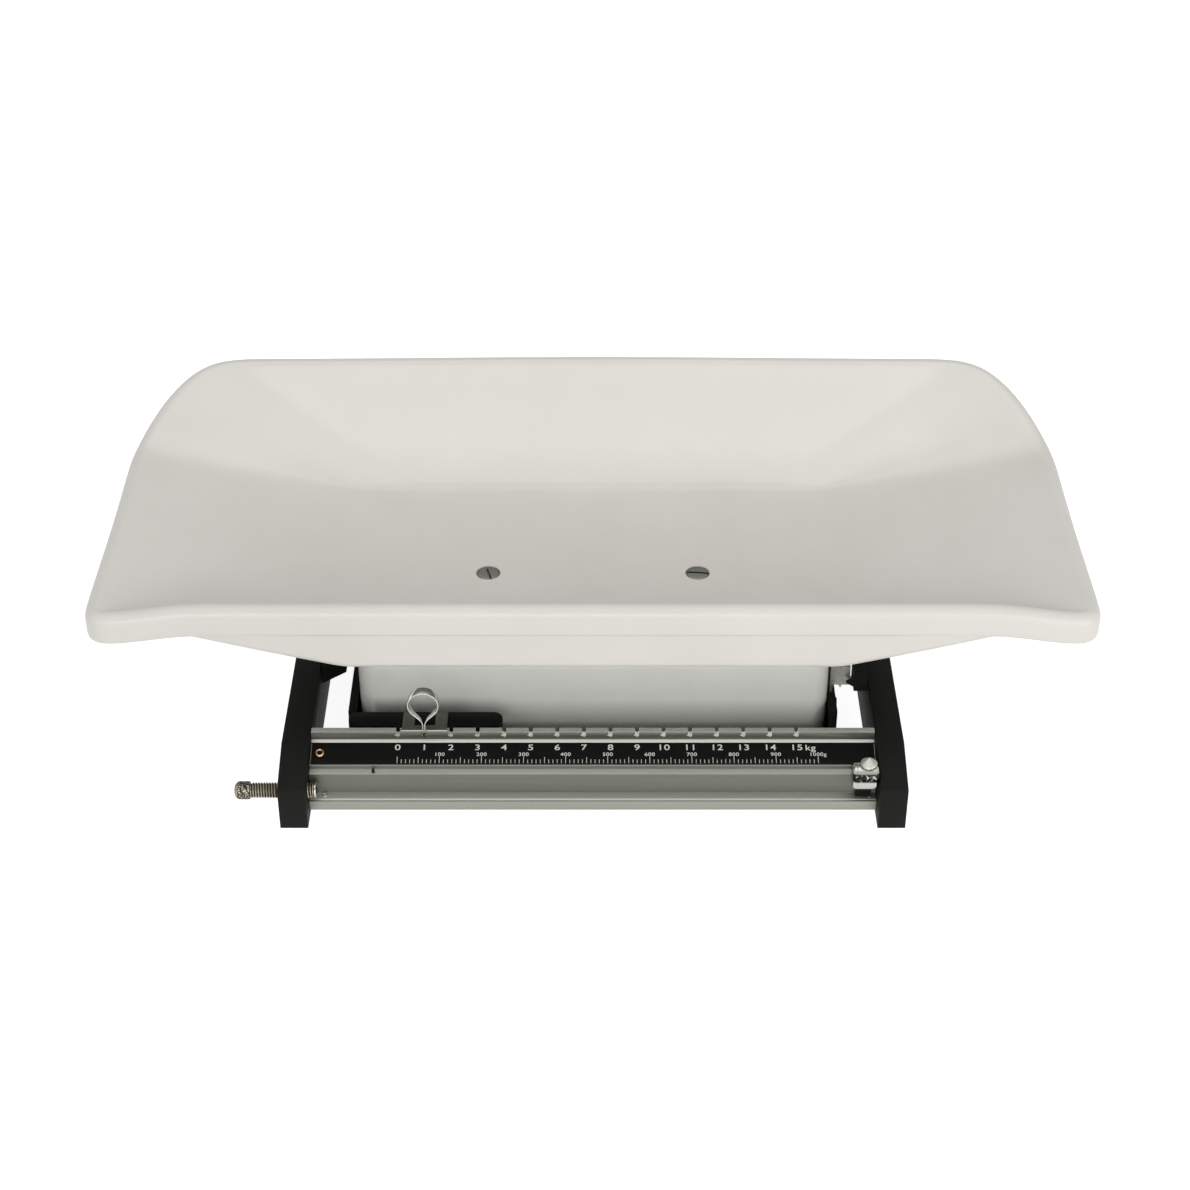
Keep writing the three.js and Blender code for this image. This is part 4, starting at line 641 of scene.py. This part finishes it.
EYELET_PROFILE = [
    (1.5, 0.1), (1.5, 1.1), (1.6, 1.5), (1.9, 1.75), (2.1, 1.75), (2.5, 1.5), (2.7, 1.15), (2.7, 1.0),
    (1.9, 0.95), (1.9, 0.1), (1.5, 0.1),
]
EYELET_X = -151.8
eyelet = turned(EYELET_PROFILE, (0, 0, 0), steps=36)
eyelet_hole = rod(1.4, -5, 3, (0, 0, 0), steps=24)
eyelet_seat = PLATE_FOOT + plate_up * 7.4 + plate_out * 0.15 + Vector((EYELET_X, 0, 0))
on_seat = Matrix.Translation(eyelet_seat) @ Matrix.Rotation(plate_slope, 4, "X")
for shape in (eyelet, eyelet_hole):
    bmesh.ops.transform(shape, matrix=on_seat, verts=shape.verts)
make_piece("rolled_eyelet", eyelet, "beam_frame", brass, ["plate_eyelet"])
cut_away(rail, eyelet_hole, sharp=30)


# Small pins of the beam
# A blackened steel stop pin for the small poise is pressed into the ridge. A hollow aluminium rivet and
# a nickel plated one show in the channel, near its ends.
PIN_PROFILE = [(0, 30.3), (0.85, 30.3), (0.85, 34.1), (0.5, 34.6), (0, 34.6)]
make_piece(
    "turned_stop_pin", turned(PIN_PROFILE, (-121.5, 19.6, 0), steps=16),
    "beam_frame", black_enamel, ["poise_stop_pin"],
)
RIVET_RING = [(0.8, 19.0), (0.8, 19.35), (1.1, 19.6), (1.5, 19.55), (1.65, 19.3), (1.65, 19.0), (0.8, 19.0)]
# The left rivet lies face up in the channel and takes the paler lit copy, as painted light.
make_piece(
    "channel_rivet_left", turned(RIVET_RING, (-148.6, 15.8, 0), steps=24),
    "beam_frame", lit_upper_aluminium,
)
RIVET_HEAD = [(0, 19.0), (0.95, 19.0), (0.85, 19.45), (0.5, 19.75), (0, 19.85)]
make_piece(
    "channel_rivet_right", turned(RIVET_HEAD, (153.6, 14.4, 0), steps=20),
    "beam_frame", nickel,
)


# Large poise
# A long black painted steel weight hangs behind the rail from a zinc plated saddle. A chromed spring
# strip is bent into a finger ring, and its two ends are drawn down together to a pointer in front.

# Painted weight: satin black over a machined face, with a faint grain of about 1 mm.
weight_paint = grained_finish(
    "black_painted_weight", {"Scale": 900.0, "Detail": 4.0}, "060605", "0d0d0b",
    {"Roughness": 0.55, "IOR": 1.5, "Specular IOR Level": 0.08}, relief=(0.12, 0.0002),
)

POISE_X = NOTCH_ZERO + NOTCH_PITCH
WEIGHT_HALF = 43.2
WEIGHT_CORNER = 5.4
weight = slab((POISE_X - WEIGHT_HALF, POISE_X + WEIGHT_HALF), (44.8, 57.0), (17, 45.6))
upright = [e for e in weight.edges if abs(e.verts[0].co.z - e.verts[1].co.z) > 1]
round_edges(weight, upright, WEIGHT_CORNER, 8)
round_edges(weight, [e for e in weight.edges if e.calc_face_angle(0) > 0.8], 0.5, 2)
make_piece("painted_weight", weight, "large_poise", weight_paint, ["poise_weight"])

SADDLE_SECTION = [
    (38.3, 45.8), (38.3, 47.0), (54.6, 47.0), (54.6, 45.8), (44.5, 45.8), (44.5, 36.5), (43.3, 36.5),
    (43.3, 45.8),
]
SADDLE_HALF = 12.5
TAB_GAP_HALF = 5.8
saddle = drawn_out(SADDLE_SECTION, "X", POISE_X - SADDLE_HALF, POISE_X + SADDLE_HALF)
round_edges(saddle, [e for e in saddle.edges if e.calc_face_angle(0) > 1.2], 0.2, 2)

# Dulled zinc: dark grey and granular, with grains of about 0.5 mm that catch the light here and there.
dull_zinc = grained_finish(
    "dulled_zinc_plate", {"Scale": 1500.0, "Detail": 5.0, "Roughness": 0.7}, "3c3c37", "8a8a82",
    {"Metallic": 1.0, "Roughness": 0.5}, relief=(0.5, 0.0002),
)

saddle = make_piece("bent_saddle", saddle, "large_poise", dull_zinc, ["poise_saddle"])
cut_away(saddle, slab((POISE_X - TAB_GAP_HALF, POISE_X + TAB_GAP_HALF), (42.9, 56), (45.7, 48)))

# The saddle's front part, over the rail, gets the rail top's pale milled finish as a painted reflection.
saddle.data.materials.append(milled_and_painted_light)
for face in saddle.data.polygons:
    if face.center.y < arms_front + 0.0431:
        face.material_index = 1

# Polished chrome: a cool mirror with very faint polishing haze of about 2 mm.
chrome, place = new_finish("polished_chrome_plate")
haze = add_node(chrome, "TexNoise", {"Vector": place, "Scale": 500.0, "Detail": 4.0})
wear = add_node(chrome, "MapRange", {"Value": haze.outputs["Fac"], "To Min": 0.05, "To Max": 0.16})
plate = add_node(chrome, "BsdfPrincipled", {
    "Base Color": linear("c2c2bf"), "Metallic": 1.0, "Roughness": wear.outputs["Result"],
})
add_node(chrome, "OutputMaterial", {"Surface": plate.outputs["BSDF"]})

# The ring's strip: its outline is a circle down to where it leaves it, then a soft bend to the neck
# and a straight foot. Its width is full round the ring and narrows towards the tip.
RING_CENTRE = 65.0
RING_RADIUS = 8.4
RING_LEAVE = math.radians(46)
RING_STEPS = 18
BEND_STEPS = 8
STRIP_FRONT = 36.6
STRIP_BACK = 42.6
STRIP_TIP = 42.9
STRIP_TIP_WIDTH = 0.9
STRIP_WALL = 0.00055
STRIP_EDGE = 0.00015
NECK = Vector((0.55, 51.2))


def ring_point(turn):
    """A point of the ring's circle, by its angle from the bottom."""
    return Vector((math.sin(turn), -math.cos(turn))) * RING_RADIUS + Vector((0, RING_CENTRE))


leave = ring_point(RING_LEAVE)
heading = Vector((-math.cos(RING_LEAVE), -math.sin(RING_LEAVE)))
bends = [leave, leave + heading * 4.2, NECK + Vector((0, 3.2)), NECK]
ring_turn = (math.pi - RING_LEAVE) / RING_STEPS
half_path = [ring_point(math.pi - ring_turn * step) for step in range(RING_STEPS + 1)]
for step in range(1, BEND_STEPS + 1):
    t = step / BEND_STEPS
    shares = ((1 - t) ** 3, 3 * t * (1 - t) ** 2, 3 * t * t * (1 - t), t ** 3)
    half_path.append(sum((share * bend for share, bend in zip(shares, bends)), Vector((0, 0))))
half_path += [Vector((0.6, 49.0)), Vector((0.55, 46.5)), Vector((0.3, STRIP_TIP))]
path = [Vector((-p.x, p.y)) for p in reversed(half_path[1:])] + half_path
strip = bmesh.new()
front_line = [strip.verts.new((POISE_X + p.x, STRIP_FRONT, p.y)) for p in path]
front_edges = [strip.edges.new(pair) for pair in zip(front_line, front_line[1:])]
widened = bmesh.ops.extrude_edge_only(strip, edges=front_edges)
for vert in [v for v in widened["geom"] if isinstance(v, bmesh.types.BMVert)]:
    narrow = min(1, max(0, (leave.y + 1 - vert.co.z) / (leave.y + 1 - STRIP_TIP)))
    vert.co.y = STRIP_BACK + (STRIP_FRONT + STRIP_TIP_WIDTH - STRIP_BACK) * narrow ** 0.4
ring = make_piece("bent_finger_ring", strip, "large_poise", chrome, ["poise_ring"], 50)
wall = ring.modifiers.new("wall", "SOLIDIFY")
wall.thickness = STRIP_WALL
wall.offset = 0
edge = ring.modifiers.new("edge", "BEVEL")
edge.width = STRIP_EDGE
edge.segments = 2
settle(ring, 50)


# Small poise
# A polished steel barrel that slides along the ridge, with a zinc plated knob to push it by and a steel shoe
# that runs down in the channel, finished black, which also stands for the shade under the barrel.
BARREL_LEFT = 142.4
BARREL_RIGHT = 156.9
BARREL_RADIUS = 7.5
barrel_profile = [
    (0, BARREL_LEFT), (5.4, BARREL_LEFT), (6.6, BARREL_LEFT + 0.3), (7.3, BARREL_LEFT + 1.2),
    (BARREL_RADIUS, BARREL_LEFT + 2.2), (BARREL_RADIUS, BARREL_LEFT + 2.5), (7.35, BARREL_LEFT + 2.6),
    (BARREL_RADIUS, BARREL_LEFT + 2.8), (BARREL_RADIUS, BARREL_RIGHT - 1.6), (6.6, BARREL_RIGHT - 0.3),
    (6.2, BARREL_RIGHT), (0, BARREL_RIGHT),
]

# Polished steel: a mirror with a slight haze, and a dark band painted round it at a height of about 38.6 mm
# as a painted reflection, broken up in spots of about 1.5 mm.
polished_steel, place = new_finish("polished_turned_steel")
spots = add_node(polished_steel, "TexNoise", {"Vector": place, "Scale": 650.0, "Detail": 4.0})
height = add_node(polished_steel, "SeparateXYZ", {"Vector": place}).outputs["Z"]
# Painted reflection: a dark band round the barrel, within 1.7 to 2.5 mm of a height of 38.6 mm, broken up by
# the spots.
from_band = add_node(polished_steel, "Math", {"Value": height, "Value_001": 0.0386}, operation="SUBTRACT")
distance = add_node(polished_steel, "Math", {"Value": from_band.outputs["Value"]}, operation="ABSOLUTE")
band = add_node(polished_steel, "MapRange", {
    "Value": distance.outputs["Value"], "From Min": 0.0017, "From Max": 0.0025, "To Min": 1.0, "To Max": 0.0,
})
patches = add_node(polished_steel, "MapRange", {
    "Value": spots.outputs["Fac"], "From Min": 0.55, "From Max": 0.66, "To Min": 1.0, "To Max": 0.45,
})
painted_reflection = add_node(polished_steel, "Math", {
    "Value": band.outputs["Result"], "Value_001": patches.outputs["Result"],
}, operation="MULTIPLY")
tone = add_node(polished_steel, "Mix", {
    "Factor_Float": painted_reflection.outputs["Value"], "A_Color": linear("adada8"), "B_Color": linear("191918"),
}, data_type="RGBA")
wear = add_node(polished_steel, "MapRange", {"Value": spots.outputs["Fac"], "To Min": 0.1, "To Max": 0.24})
steel = add_node(polished_steel, "BsdfPrincipled", {
    "Base Color": tone.outputs[2], "Metallic": 1.0, "Roughness": wear.outputs["Result"],
})
add_node(polished_steel, "OutputMaterial", {"Surface": steel.outputs["BSDF"]})

barrel = make_piece(
    "turned_barrel", turned(barrel_profile, (0, 12.5, 35.5), "X", 64),
    "small_poise", polished_steel, ["small_poise_weight"], 25,
)

# The barrel is cut out underneath, where it rides on the ridge and holds the shoe.
cut_away(
    barrel,
    slab((140, 160), (17.5, 25), (20, 32.5)),
    slab((145.1, 154.2), (14.2, 20), (20, 31.8)),
    sharp=25,
)
# Painted shade: the shoe is finished black, standing also for the shade in the channel under the barrel.
dress(black_enamel, "small_poise_shoe")

KNOB_PROFILE = [
    (0, 40.0), (1.8, 40.0), (1.8, 43.0), (4.2, 43.0), (4.6, 43.3), (4.7, 44.3), (4.5, 44.8),
    (0.5, 47.9), (0, 48.1),
]
make_piece(
    "turned_knob", turned(KNOB_PROFILE, (151.4, 12.5, 0), steps=48),
    "small_poise", zinc, ["small_poise_knob"], 25,
)


# Zero adjuster
# A nickel plated screw with a knurled head, turned through the left arm to trim the empty beam, and
# a bright collar on its inner end.
HEAD_START = -197.4
HEAD_END = -189.0
KNURL_START = HEAD_START + 2.3
KNURL_RADIUS = 5.2
KNURL_DEPTH = 0.1
KNURL_ROWS = 5
KNURL_COLUMNS = 24
knurl_step = (HEAD_END - 0.4 - KNURL_START) / KNURL_ROWS
head_profile = [
    (0, HEAD_START), (2.6, HEAD_START), (3.9, HEAD_START + 0.5), (4.7, HEAD_START + 1.5),
    *[(KNURL_RADIUS, KNURL_START + row * knurl_step) for row in range(KNURL_ROWS + 1)],
    (4.9, HEAD_END), (0, HEAD_END),
]
head = turned(head_profile, ADJUSTER_AXIS, "X", KNURL_COLUMNS)

# Every other point of the knurl is pressed in towards the axis.
for vert in head.verts:
    across = Vector((vert.co.y - ADJUSTER_AXIS[1], vert.co.z - ADJUSTER_AXIS[2]))
    column = round(math.atan2(across.y, across.x) / math.tau * KNURL_COLUMNS)
    row = round((vert.co.x - KNURL_START) / knurl_step)
    if across.length > 5 and (row + column) % 2:
        vert.co.y -= across.x * KNURL_DEPTH
        vert.co.z -= across.y * KNURL_DEPTH

THREAD_PITCH = 1.5
THREAD_END = -154.0
THREAD_ROOT = 3.7
THREAD_CREST = 4.5
TURN_STEPS = 24
turns = round((THREAD_END - HEAD_END) / THREAD_PITCH)
tooth = [
    (THREAD_ROOT, 0), (4.35, 0.45), (THREAD_CREST, 0.7), (4.35, 0.95), (THREAD_ROOT, 1.4),
    (THREAD_ROOT, THREAD_PITCH),
]
screw = bmesh.new()
points = [screw.verts.new((HEAD_END - 0.4 + d, ADJUSTER_AXIS[1], ADJUSTER_AXIS[2] + r)) for r, d in tooth]
edges = [screw.edges.new(pair) for pair in zip(points, points[1:])]
bmesh.ops.spin(
    screw, geom=points + edges, cent=ADJUSTER_AXIS, axis=(1, 0, 0), dvec=(THREAD_PITCH / TURN_STEPS, 0, 0),
    angle=math.tau * turns, steps=TURN_STEPS * turns, use_merge=False, use_duplicate=False,
)
core_profile = [
    (0, HEAD_END - 0.5), (3.72, HEAD_END - 0.5), (3.72, -154.2), (THREAD_CREST, -154.2),
    (THREAD_CREST, -153.9), (1.6, -153.9), (1.6, -152.3), (1.9, -152.2), (1.8, -152.0), (0, -151.9),
]
for part in (head, turned(core_profile, ADJUSTER_AXIS, "X", 32)):
    joined = bpy.data.meshes.new("joined")
    part.to_mesh(joined)
    part.free()
    screw.from_mesh(joined)
    bpy.data.meshes.remove(joined)

# Worn nickel: brownish grey, with spots of grime about 1 mm apart on the head, and painted shade in the
# thread's hollows, which are darkened where they lie nearer to the screw's axis than its crests.
worn_nickel, place = new_finish("worn_nickel_plated_steel")
dots = add_node(worn_nickel, "TexVoronoi", {"Vector": place, "Scale": 950.0})
grime = add_node(worn_nickel, "MapRange", {
    "Value": dots.outputs["Distance"], "From Min": 0.2, "From Max": 0.6,
})
from_axis = add_node(worn_nickel, "Mapping", {
    "Vector": place, "Location": (0, -arms_front - 0.011, -0.0265), "Scale": (0, 1, 1),
})
radius = add_node(worn_nickel, "VectorMath", {"Vector": from_axis.outputs["Vector"]}, operation="LENGTH")
# Painted shade: inside a radius of 4.4 mm, in the thread's hollows, the colour darkens.
hollow = add_node(worn_nickel, "MapRange", {
    "Value": radius.outputs["Value"], "From Min": 0.0044, "From Max": 0.0038, "To Max": 0.95,
})
on_head = add_node(worn_nickel, "MapRange", {
    "Value": radius.outputs["Value"], "From Min": 0.0045, "From Max": 0.0047,
})
spotted = add_node(worn_nickel, "Math", {
    "Value": grime.outputs["Result"], "Value_001": on_head.outputs["Result"],
}, operation="MULTIPLY")
dark = add_node(worn_nickel, "Math", {
    "Value": spotted.outputs["Value"], "Value_001": hollow.outputs["Result"],
}, operation="MAXIMUM")
tone = add_node(worn_nickel, "Mix", {
    "Factor_Float": dark.outputs["Value"], "A_Color": linear("aca696"), "B_Color": linear("2c2820"),
}, data_type="RGBA")
wear = add_node(worn_nickel, "MapRange", {"Value": dots.outputs["Distance"], "To Min": 0.28, "To Max": 0.5})
plate = add_node(worn_nickel, "BsdfPrincipled", {
    "Base Color": tone.outputs[2], "Metallic": 1.0, "Roughness": wear.outputs["Result"],
})
add_node(worn_nickel, "OutputMaterial", {"Surface": plate.outputs["BSDF"]})
make_piece("threaded_adjuster", screw, "adjuster_screw", worn_nickel, ["adjuster_screw"], 25)
COLLAR_PROFILE = [
    (1.9, -153.7), (4.3, -153.7), (4.5, -153.4), (4.5, -152.8), (4.2, -152.5), (1.9, -152.5), (1.9, -153.7),
]
make_piece(
    "turned_collar", turned(COLLAR_PROFILE, ADJUSTER_AXIS, "X", 40),
    "adjuster_collar", chrome, ["adjuster_collar"],
)


# Tray screws and washers
# Two flat slotted screws of dull nickel plated steel in round recesses of the tray floor, with rubber
# washers below.

# Dull nickel: grey, with turning marks of about 0.3 mm that scatter the light.
dull_nickel = grained_finish(
    "dull_nickel_plated_steel", {"Scale": 1800.0, "Detail": 4.0}, "4e4f48", "7d7e76",
    {"Metallic": 1.0, "Roughness": 0.42}, relief=(0.2, 0.0001),
)
dress(rubber, "rubber_washer_left", "rubber_washer_right")
TRAY_FLOOR = 85
SCREW_PROFILE = [
    (0, 66), (2.9, 66), (2.9, 82.7), (6.2, 82.7), (6.45, 83.0), (6.45, 84.4), (6.1, 84.65), (4.5, 84.85),
    (2.5, 84.95), (0, 85.0),
]
for side, name, slot_turn in ((-1, "left", 105), (1, "right", -6)):
    screw = make_piece(
        f"domed_tray_screw_{name}", turned(SCREW_PROFILE, (side * POST_X, POST_Y, 0), steps=48),
        "platform", dull_nickel, [f"tray_screw_{name}"],
    )
    slot = slab((-9, 9), (-0.7, 0.7), (82.9, 86))
    turn = Matrix.Rotation(math.radians(slot_turn), 4, "Z")
    place = Matrix.Translation((side * POST_X, POST_Y, 0))
    bmesh.ops.transform(slot, matrix=place @ turn, verts=slot.verts)
    cut_away(screw, slot)


# Tray
# One vacuum formed shell of thick white plastic: a flat floor, sloping ends, a high back, a low front,
# and a rim rolled over into a turned down skirt all round. It is screwed to the two posts.


def tray_line(half_length, front, back, front_radius, back_radius=0):
    """Points round the tray, from the middle of the front, past the right end and the back.

    Where the back corner isn't round, its points spread out along the back, so that the back wall
    sweeps on smoothly into the rim's round corner.
    """
    half = []

    def straight(start, end, shares):
        half.extend(start.lerp(end, share) for share in shares)

    def corner(centre, radius, start, steps):
        for step in range(steps):
            turn = start + math.pi / 2 * step / steps
            half.append(centre + Vector((math.cos(turn), math.sin(turn))) * radius)

    right = half_length
    straight(
        Vector((0, front)), Vector((right - front_radius, front)),
        (0, 0.2, 0.4, 0.6, 0.74, 0.82, 0.88, 0.93, 0.97),
    )
    corner(Vector((right - front_radius, front + front_radius)), front_radius, -math.pi / 2, 4)
    turn_start = back - (back_radius or 14)
    spread_end = right - back_radius if back_radius else 0.68 * right
    straight(
        Vector((right, front + front_radius)), Vector((right, turn_start)), (0, 0.15, 0.35, 0.55, 0.75, 0.9),
    )
    if back_radius:
        corner(Vector((right - back_radius, turn_start)), back_radius, 0, 10)
    else:
        straight(Vector((right, turn_start)), Vector((right, back)), (0, 0.5))
        half.append(Vector((right - 1.5, back - 1.5)))
        straight(Vector((right - 7, back)), Vector((spread_end, back)), [step / 7 for step in range(7)])
    straight(Vector((spread_end, back)), Vector((0, back)), (0, 0.1, 0.3, 0.55, 0.8))
    mirrored = [Vector((-p.x, p.y)) for p in reversed(half[1:])]
    return [*half, Vector((0, back)), *mirrored]


def smooth(value, low, high):
    share = min(1, max(0, (value - low) / (high - low)))
    return share * share * (3 - 2 * share)


RIM_HALF = 265.5
RIM_FRONT = 51.5
RIM_BACK = 259.5
RIM_CORNER = 60.5
FRONT_TOP = 124.4
CORNER_TOP = 119
BACK_TOP = 154.5
BACK_CROWN = 1.4
FRONT_SPREAD = 0.009
WALL_BOW = 0.16
TRAY_WALL = 0.0034


def rim_height(point):
    """The rim dips a little at the front corners and climbs round the back corners."""
    corner_y = RIM_BACK - RIM_CORNER
    turn = math.asin(min(1, max(0, (point.y - corner_y) / RIM_CORNER)))
    end = CORNER_TOP + 4.4 * smooth(point.y, RIM_FRONT, corner_y)
    dip = smooth(abs(point.x), RIM_HALF - 50, RIM_HALF - 2)
    front = FRONT_TOP + (CORNER_TOP - FRONT_TOP) * dip
    side = front if point.y < RIM_FRONT + 1 else end
    back = BACK_TOP + BACK_CROWN * (1 - smooth(abs(point.x), 0, RIM_HALF - RIM_CORNER))
    return side + (back - side) * smooth(turn, 0.09, 1.26)


floor_line = tray_line(138.5, 50.5, 228, 8)
inset_line = tray_line(124, 66, 212, 8)
rim_line = tray_line(RIM_HALF, RIM_FRONT, RIM_BACK, 3, RIM_CORNER)
for point in rim_line:
    point.x *= 1 + FRONT_SPREAD * (1 - smooth(point.y, RIM_FRONT, 160))
count = len(rim_line)
tops = [rim_height(point) for point in rim_line]

# The shell grows ring by ring: the floor, the walls, which bow inwards a little, and the rolled rim.
rings = [[(p.x, p.y, TRAY_FLOOR) for p in inset_line]]
for share in (0, 0.08, 0.3, 0.62, 0.9, 1):
    bowed = share + WALL_BOW * share * (share - 1)
    rings.append([
        (*low.lerp(high, share), TRAY_FLOOR + (top - TRAY_FLOOR) * bowed)
        for low, high, top in zip(floor_line, rim_line, tops)
    ])
for out, drop in ((2.4, 1.1), (6.2, 0.7), (9.4, -1.4), (9.5, -6), (9.5, -13), (9.3, -16.5)):
    ring = []
    for i in range(count):
        along = rim_line[(i + 1) % count] - rim_line[i - 1]
        outward = Vector((along.y, -along.x)).normalized()
        ring.append((*(rim_line[i] + outward * out), tops[i] + drop))
    rings.append(ring)
shell = bmesh.new()
loop = [shell.verts.new(point) for point in rings[0]]
shell.faces.new(loop)
edges = [shell.edges.get((loop[i - 1], loop[i])) for i in range(count)]
for ring in rings[1:]:
    grown = bmesh.ops.extrude_edge_only(shell, edges=edges)["geom"]
    edges = [e for e in grown if isinstance(e, bmesh.types.BMEdge)]
    new_verts = {v for e in edges for v in e.verts}
    next_vert = {}
    for vert in new_verts:
        for edge in vert.link_edges:
            if edge.other_vert(vert) not in new_verts:
                next_vert[edge.other_vert(vert)] = vert
    loop = [next_vert[vert] for vert in loop]
    for vert, point in zip(loop, ring):
        vert.co = point

# Moulded plastic: a warm white satin skin with an even, very fine mould texture of about 1.5 mm and
# slow changes of tone over a few centimetres.
tray_plastic, place = new_finish("moulded_white_plastic")
skin = add_node(tray_plastic, "TexNoise", {"Vector": place, "Scale": 650.0, "Detail": 3.0})
cloud = add_node(tray_plastic, "TexNoise", {"Vector": place, "Scale": 18.0, "Detail": 3.0})
tone = add_node(tray_plastic, "Mix", {
    "Factor_Float": cloud.outputs["Fac"], "A_Color": linear("dddad2"), "B_Color": linear("e6e4dd"),
}, data_type="RGBA")
gloss = add_node(tray_plastic, "MapRange", {"Value": cloud.outputs["Fac"], "To Min": 0.3, "To Max": 0.42})
bump = add_node(tray_plastic, "Bump", {"Strength": 0.05, "Distance": 0.0003, "Height": skin.outputs["Fac"]})
plastic = add_node(tray_plastic, "BsdfPrincipled", {
    "Base Color": tone.outputs[2], "Roughness": gloss.outputs["Result"], "IOR": 1.53,
    "Normal": bump.outputs["Normal"],
})
add_node(tray_plastic, "OutputMaterial", {"Surface": plastic.outputs["BSDF"]})

tray = make_piece("moulded_tray", shell, "platform", tray_plastic, ["tray"], 60)
wall = tray.modifiers.new("wall", "SOLIDIFY")
wall.thickness = TRAY_WALL
wall.offset = -1
wall.use_even_offset = True
fair = tray.modifiers.new("fair", "SUBSURF")
fair.levels = 2
fair.render_levels = 2
HOLE_PROFILE = [
    (0, 78), (3.2, 78), (3.2, 82.4), (6.5, 82.4), (6.9, 82.8), (6.9, 84.6), (7.6, 85.3), (7.6, 88), (0, 88),
]
cut_away(tray, *[turned(HOLE_PROFILE, (side * POST_X, POST_Y, 0)) for side in (-1, 1)], sharp=32)


# Floor
# A plain white surface of studio paper that runs on out of sight. It takes the scale's soft shadow, and
# shows as white where it is seen straight, in a mirror or through glass.


def seen_directly(finish):
    """A socket that gives 1 to camera, glossy and transmission rays, and 0 to the rays that light things."""
    ray = add_node(finish, "LightPath")
    seen = add_node(finish, "Math", {
        "Value": ray.outputs["Is Camera Ray"], "Value_001": ray.outputs["Is Glossy Ray"],
    }, operation="MAXIMUM")
    return add_node(finish, "Math", {
        "Value": seen.outputs["Value"], "Value_001": ray.outputs["Is Transmission Ray"],
    }, operation="MAXIMUM").outputs["Value"]


paper = new_finish("white_studio_paper")[0]
matt = add_node(paper, "BsdfDiffuse", {"Color": linear("e8e8e8")})
glow = add_node(paper, "Emission", {"Color": (1, 1, 1, 1), "Strength": 0.9})
white = add_node(paper, "AddShader", {"Shader": matt.outputs["BSDF"], "Shader_001": glow.outputs["Emission"]})
surface = add_node(paper, "MixShader", {
    "Fac": seen_directly(paper), "Shader": matt.outputs["BSDF"], "Shader_001": white.outputs["Shader"],
})
add_node(paper, "OutputMaterial", {"Surface": surface.outputs["Shader"]})
ground = bmesh.new()
bmesh.ops.create_grid(ground, x_segments=1, y_segments=1, size=6000)
floor = object_from("studio_floor", ground, paper)


# Light
# One broad soft lamp in front, weaker ones overhead and at the right, and an even pale room around them
# that is white where it is seen straight, in a mirror or through glass.


def add_lamp(name, watts, size, place, target):
    lamp = bpy.data.lights.new(name, "AREA")
    lamp.shape = "RECTANGLE"
    lamp.size, lamp.size_y = size
    lamp.energy = watts
    holder = bpy.data.objects.new(name, lamp)
    holder.location = place
    holder.rotation_euler = (Vector(target) - Vector(place)).to_track_quat("-Z", "Y").to_euler()
    bpy.context.scene.collection.objects.link(holder)


add_lamp("front_softbox", 20.5, (2.4, 1.2), (-0.45, -2.2, 0.9), (0, 0, 0.08))
add_lamp("top_softbox", 11, (2.4, 1.6), (0.0, 0.3, 2.0), (0, 0, 0.08))
add_lamp("right_softbox", 5, (0.4, 0.4), (1.05, -1.15, 0.4), (0.2, 0, 0.08))

room = bpy.data.worlds.new("pale_room")
room.use_nodes = True
room.node_tree.nodes.clear()
strength = add_node(room, "MapRange", {"Value": seen_directly(room), "To Min": 0.36})
sky = add_node(room, "Background", {"Color": (1, 1, 1, 1), "Strength": strength.outputs["Result"]})
add_node(room, "OutputWorld", {"Surface": sky.outputs["Background"]})
bpy.context.scene.world = room


# Camera
# It stands in front of the scale's middle, a little over a metre away and as high, and looks down by
# 35 degrees with a long lens, as for the photograph.
view = bpy.data.cameras.new("camera")
view.lens = 72.6
view.sensor_width = 36
camera = bpy.data.objects.new("camera", view)
camera.location = (0.0012, -1.1463, 0.8741)
camera.rotation_euler = (math.radians(55), 0, 0)
bpy.context.scene.collection.objects.link(camera)
bpy.context.scene.camera = camera
bpy.context.scene.view_settings.view_transform = "Standard"
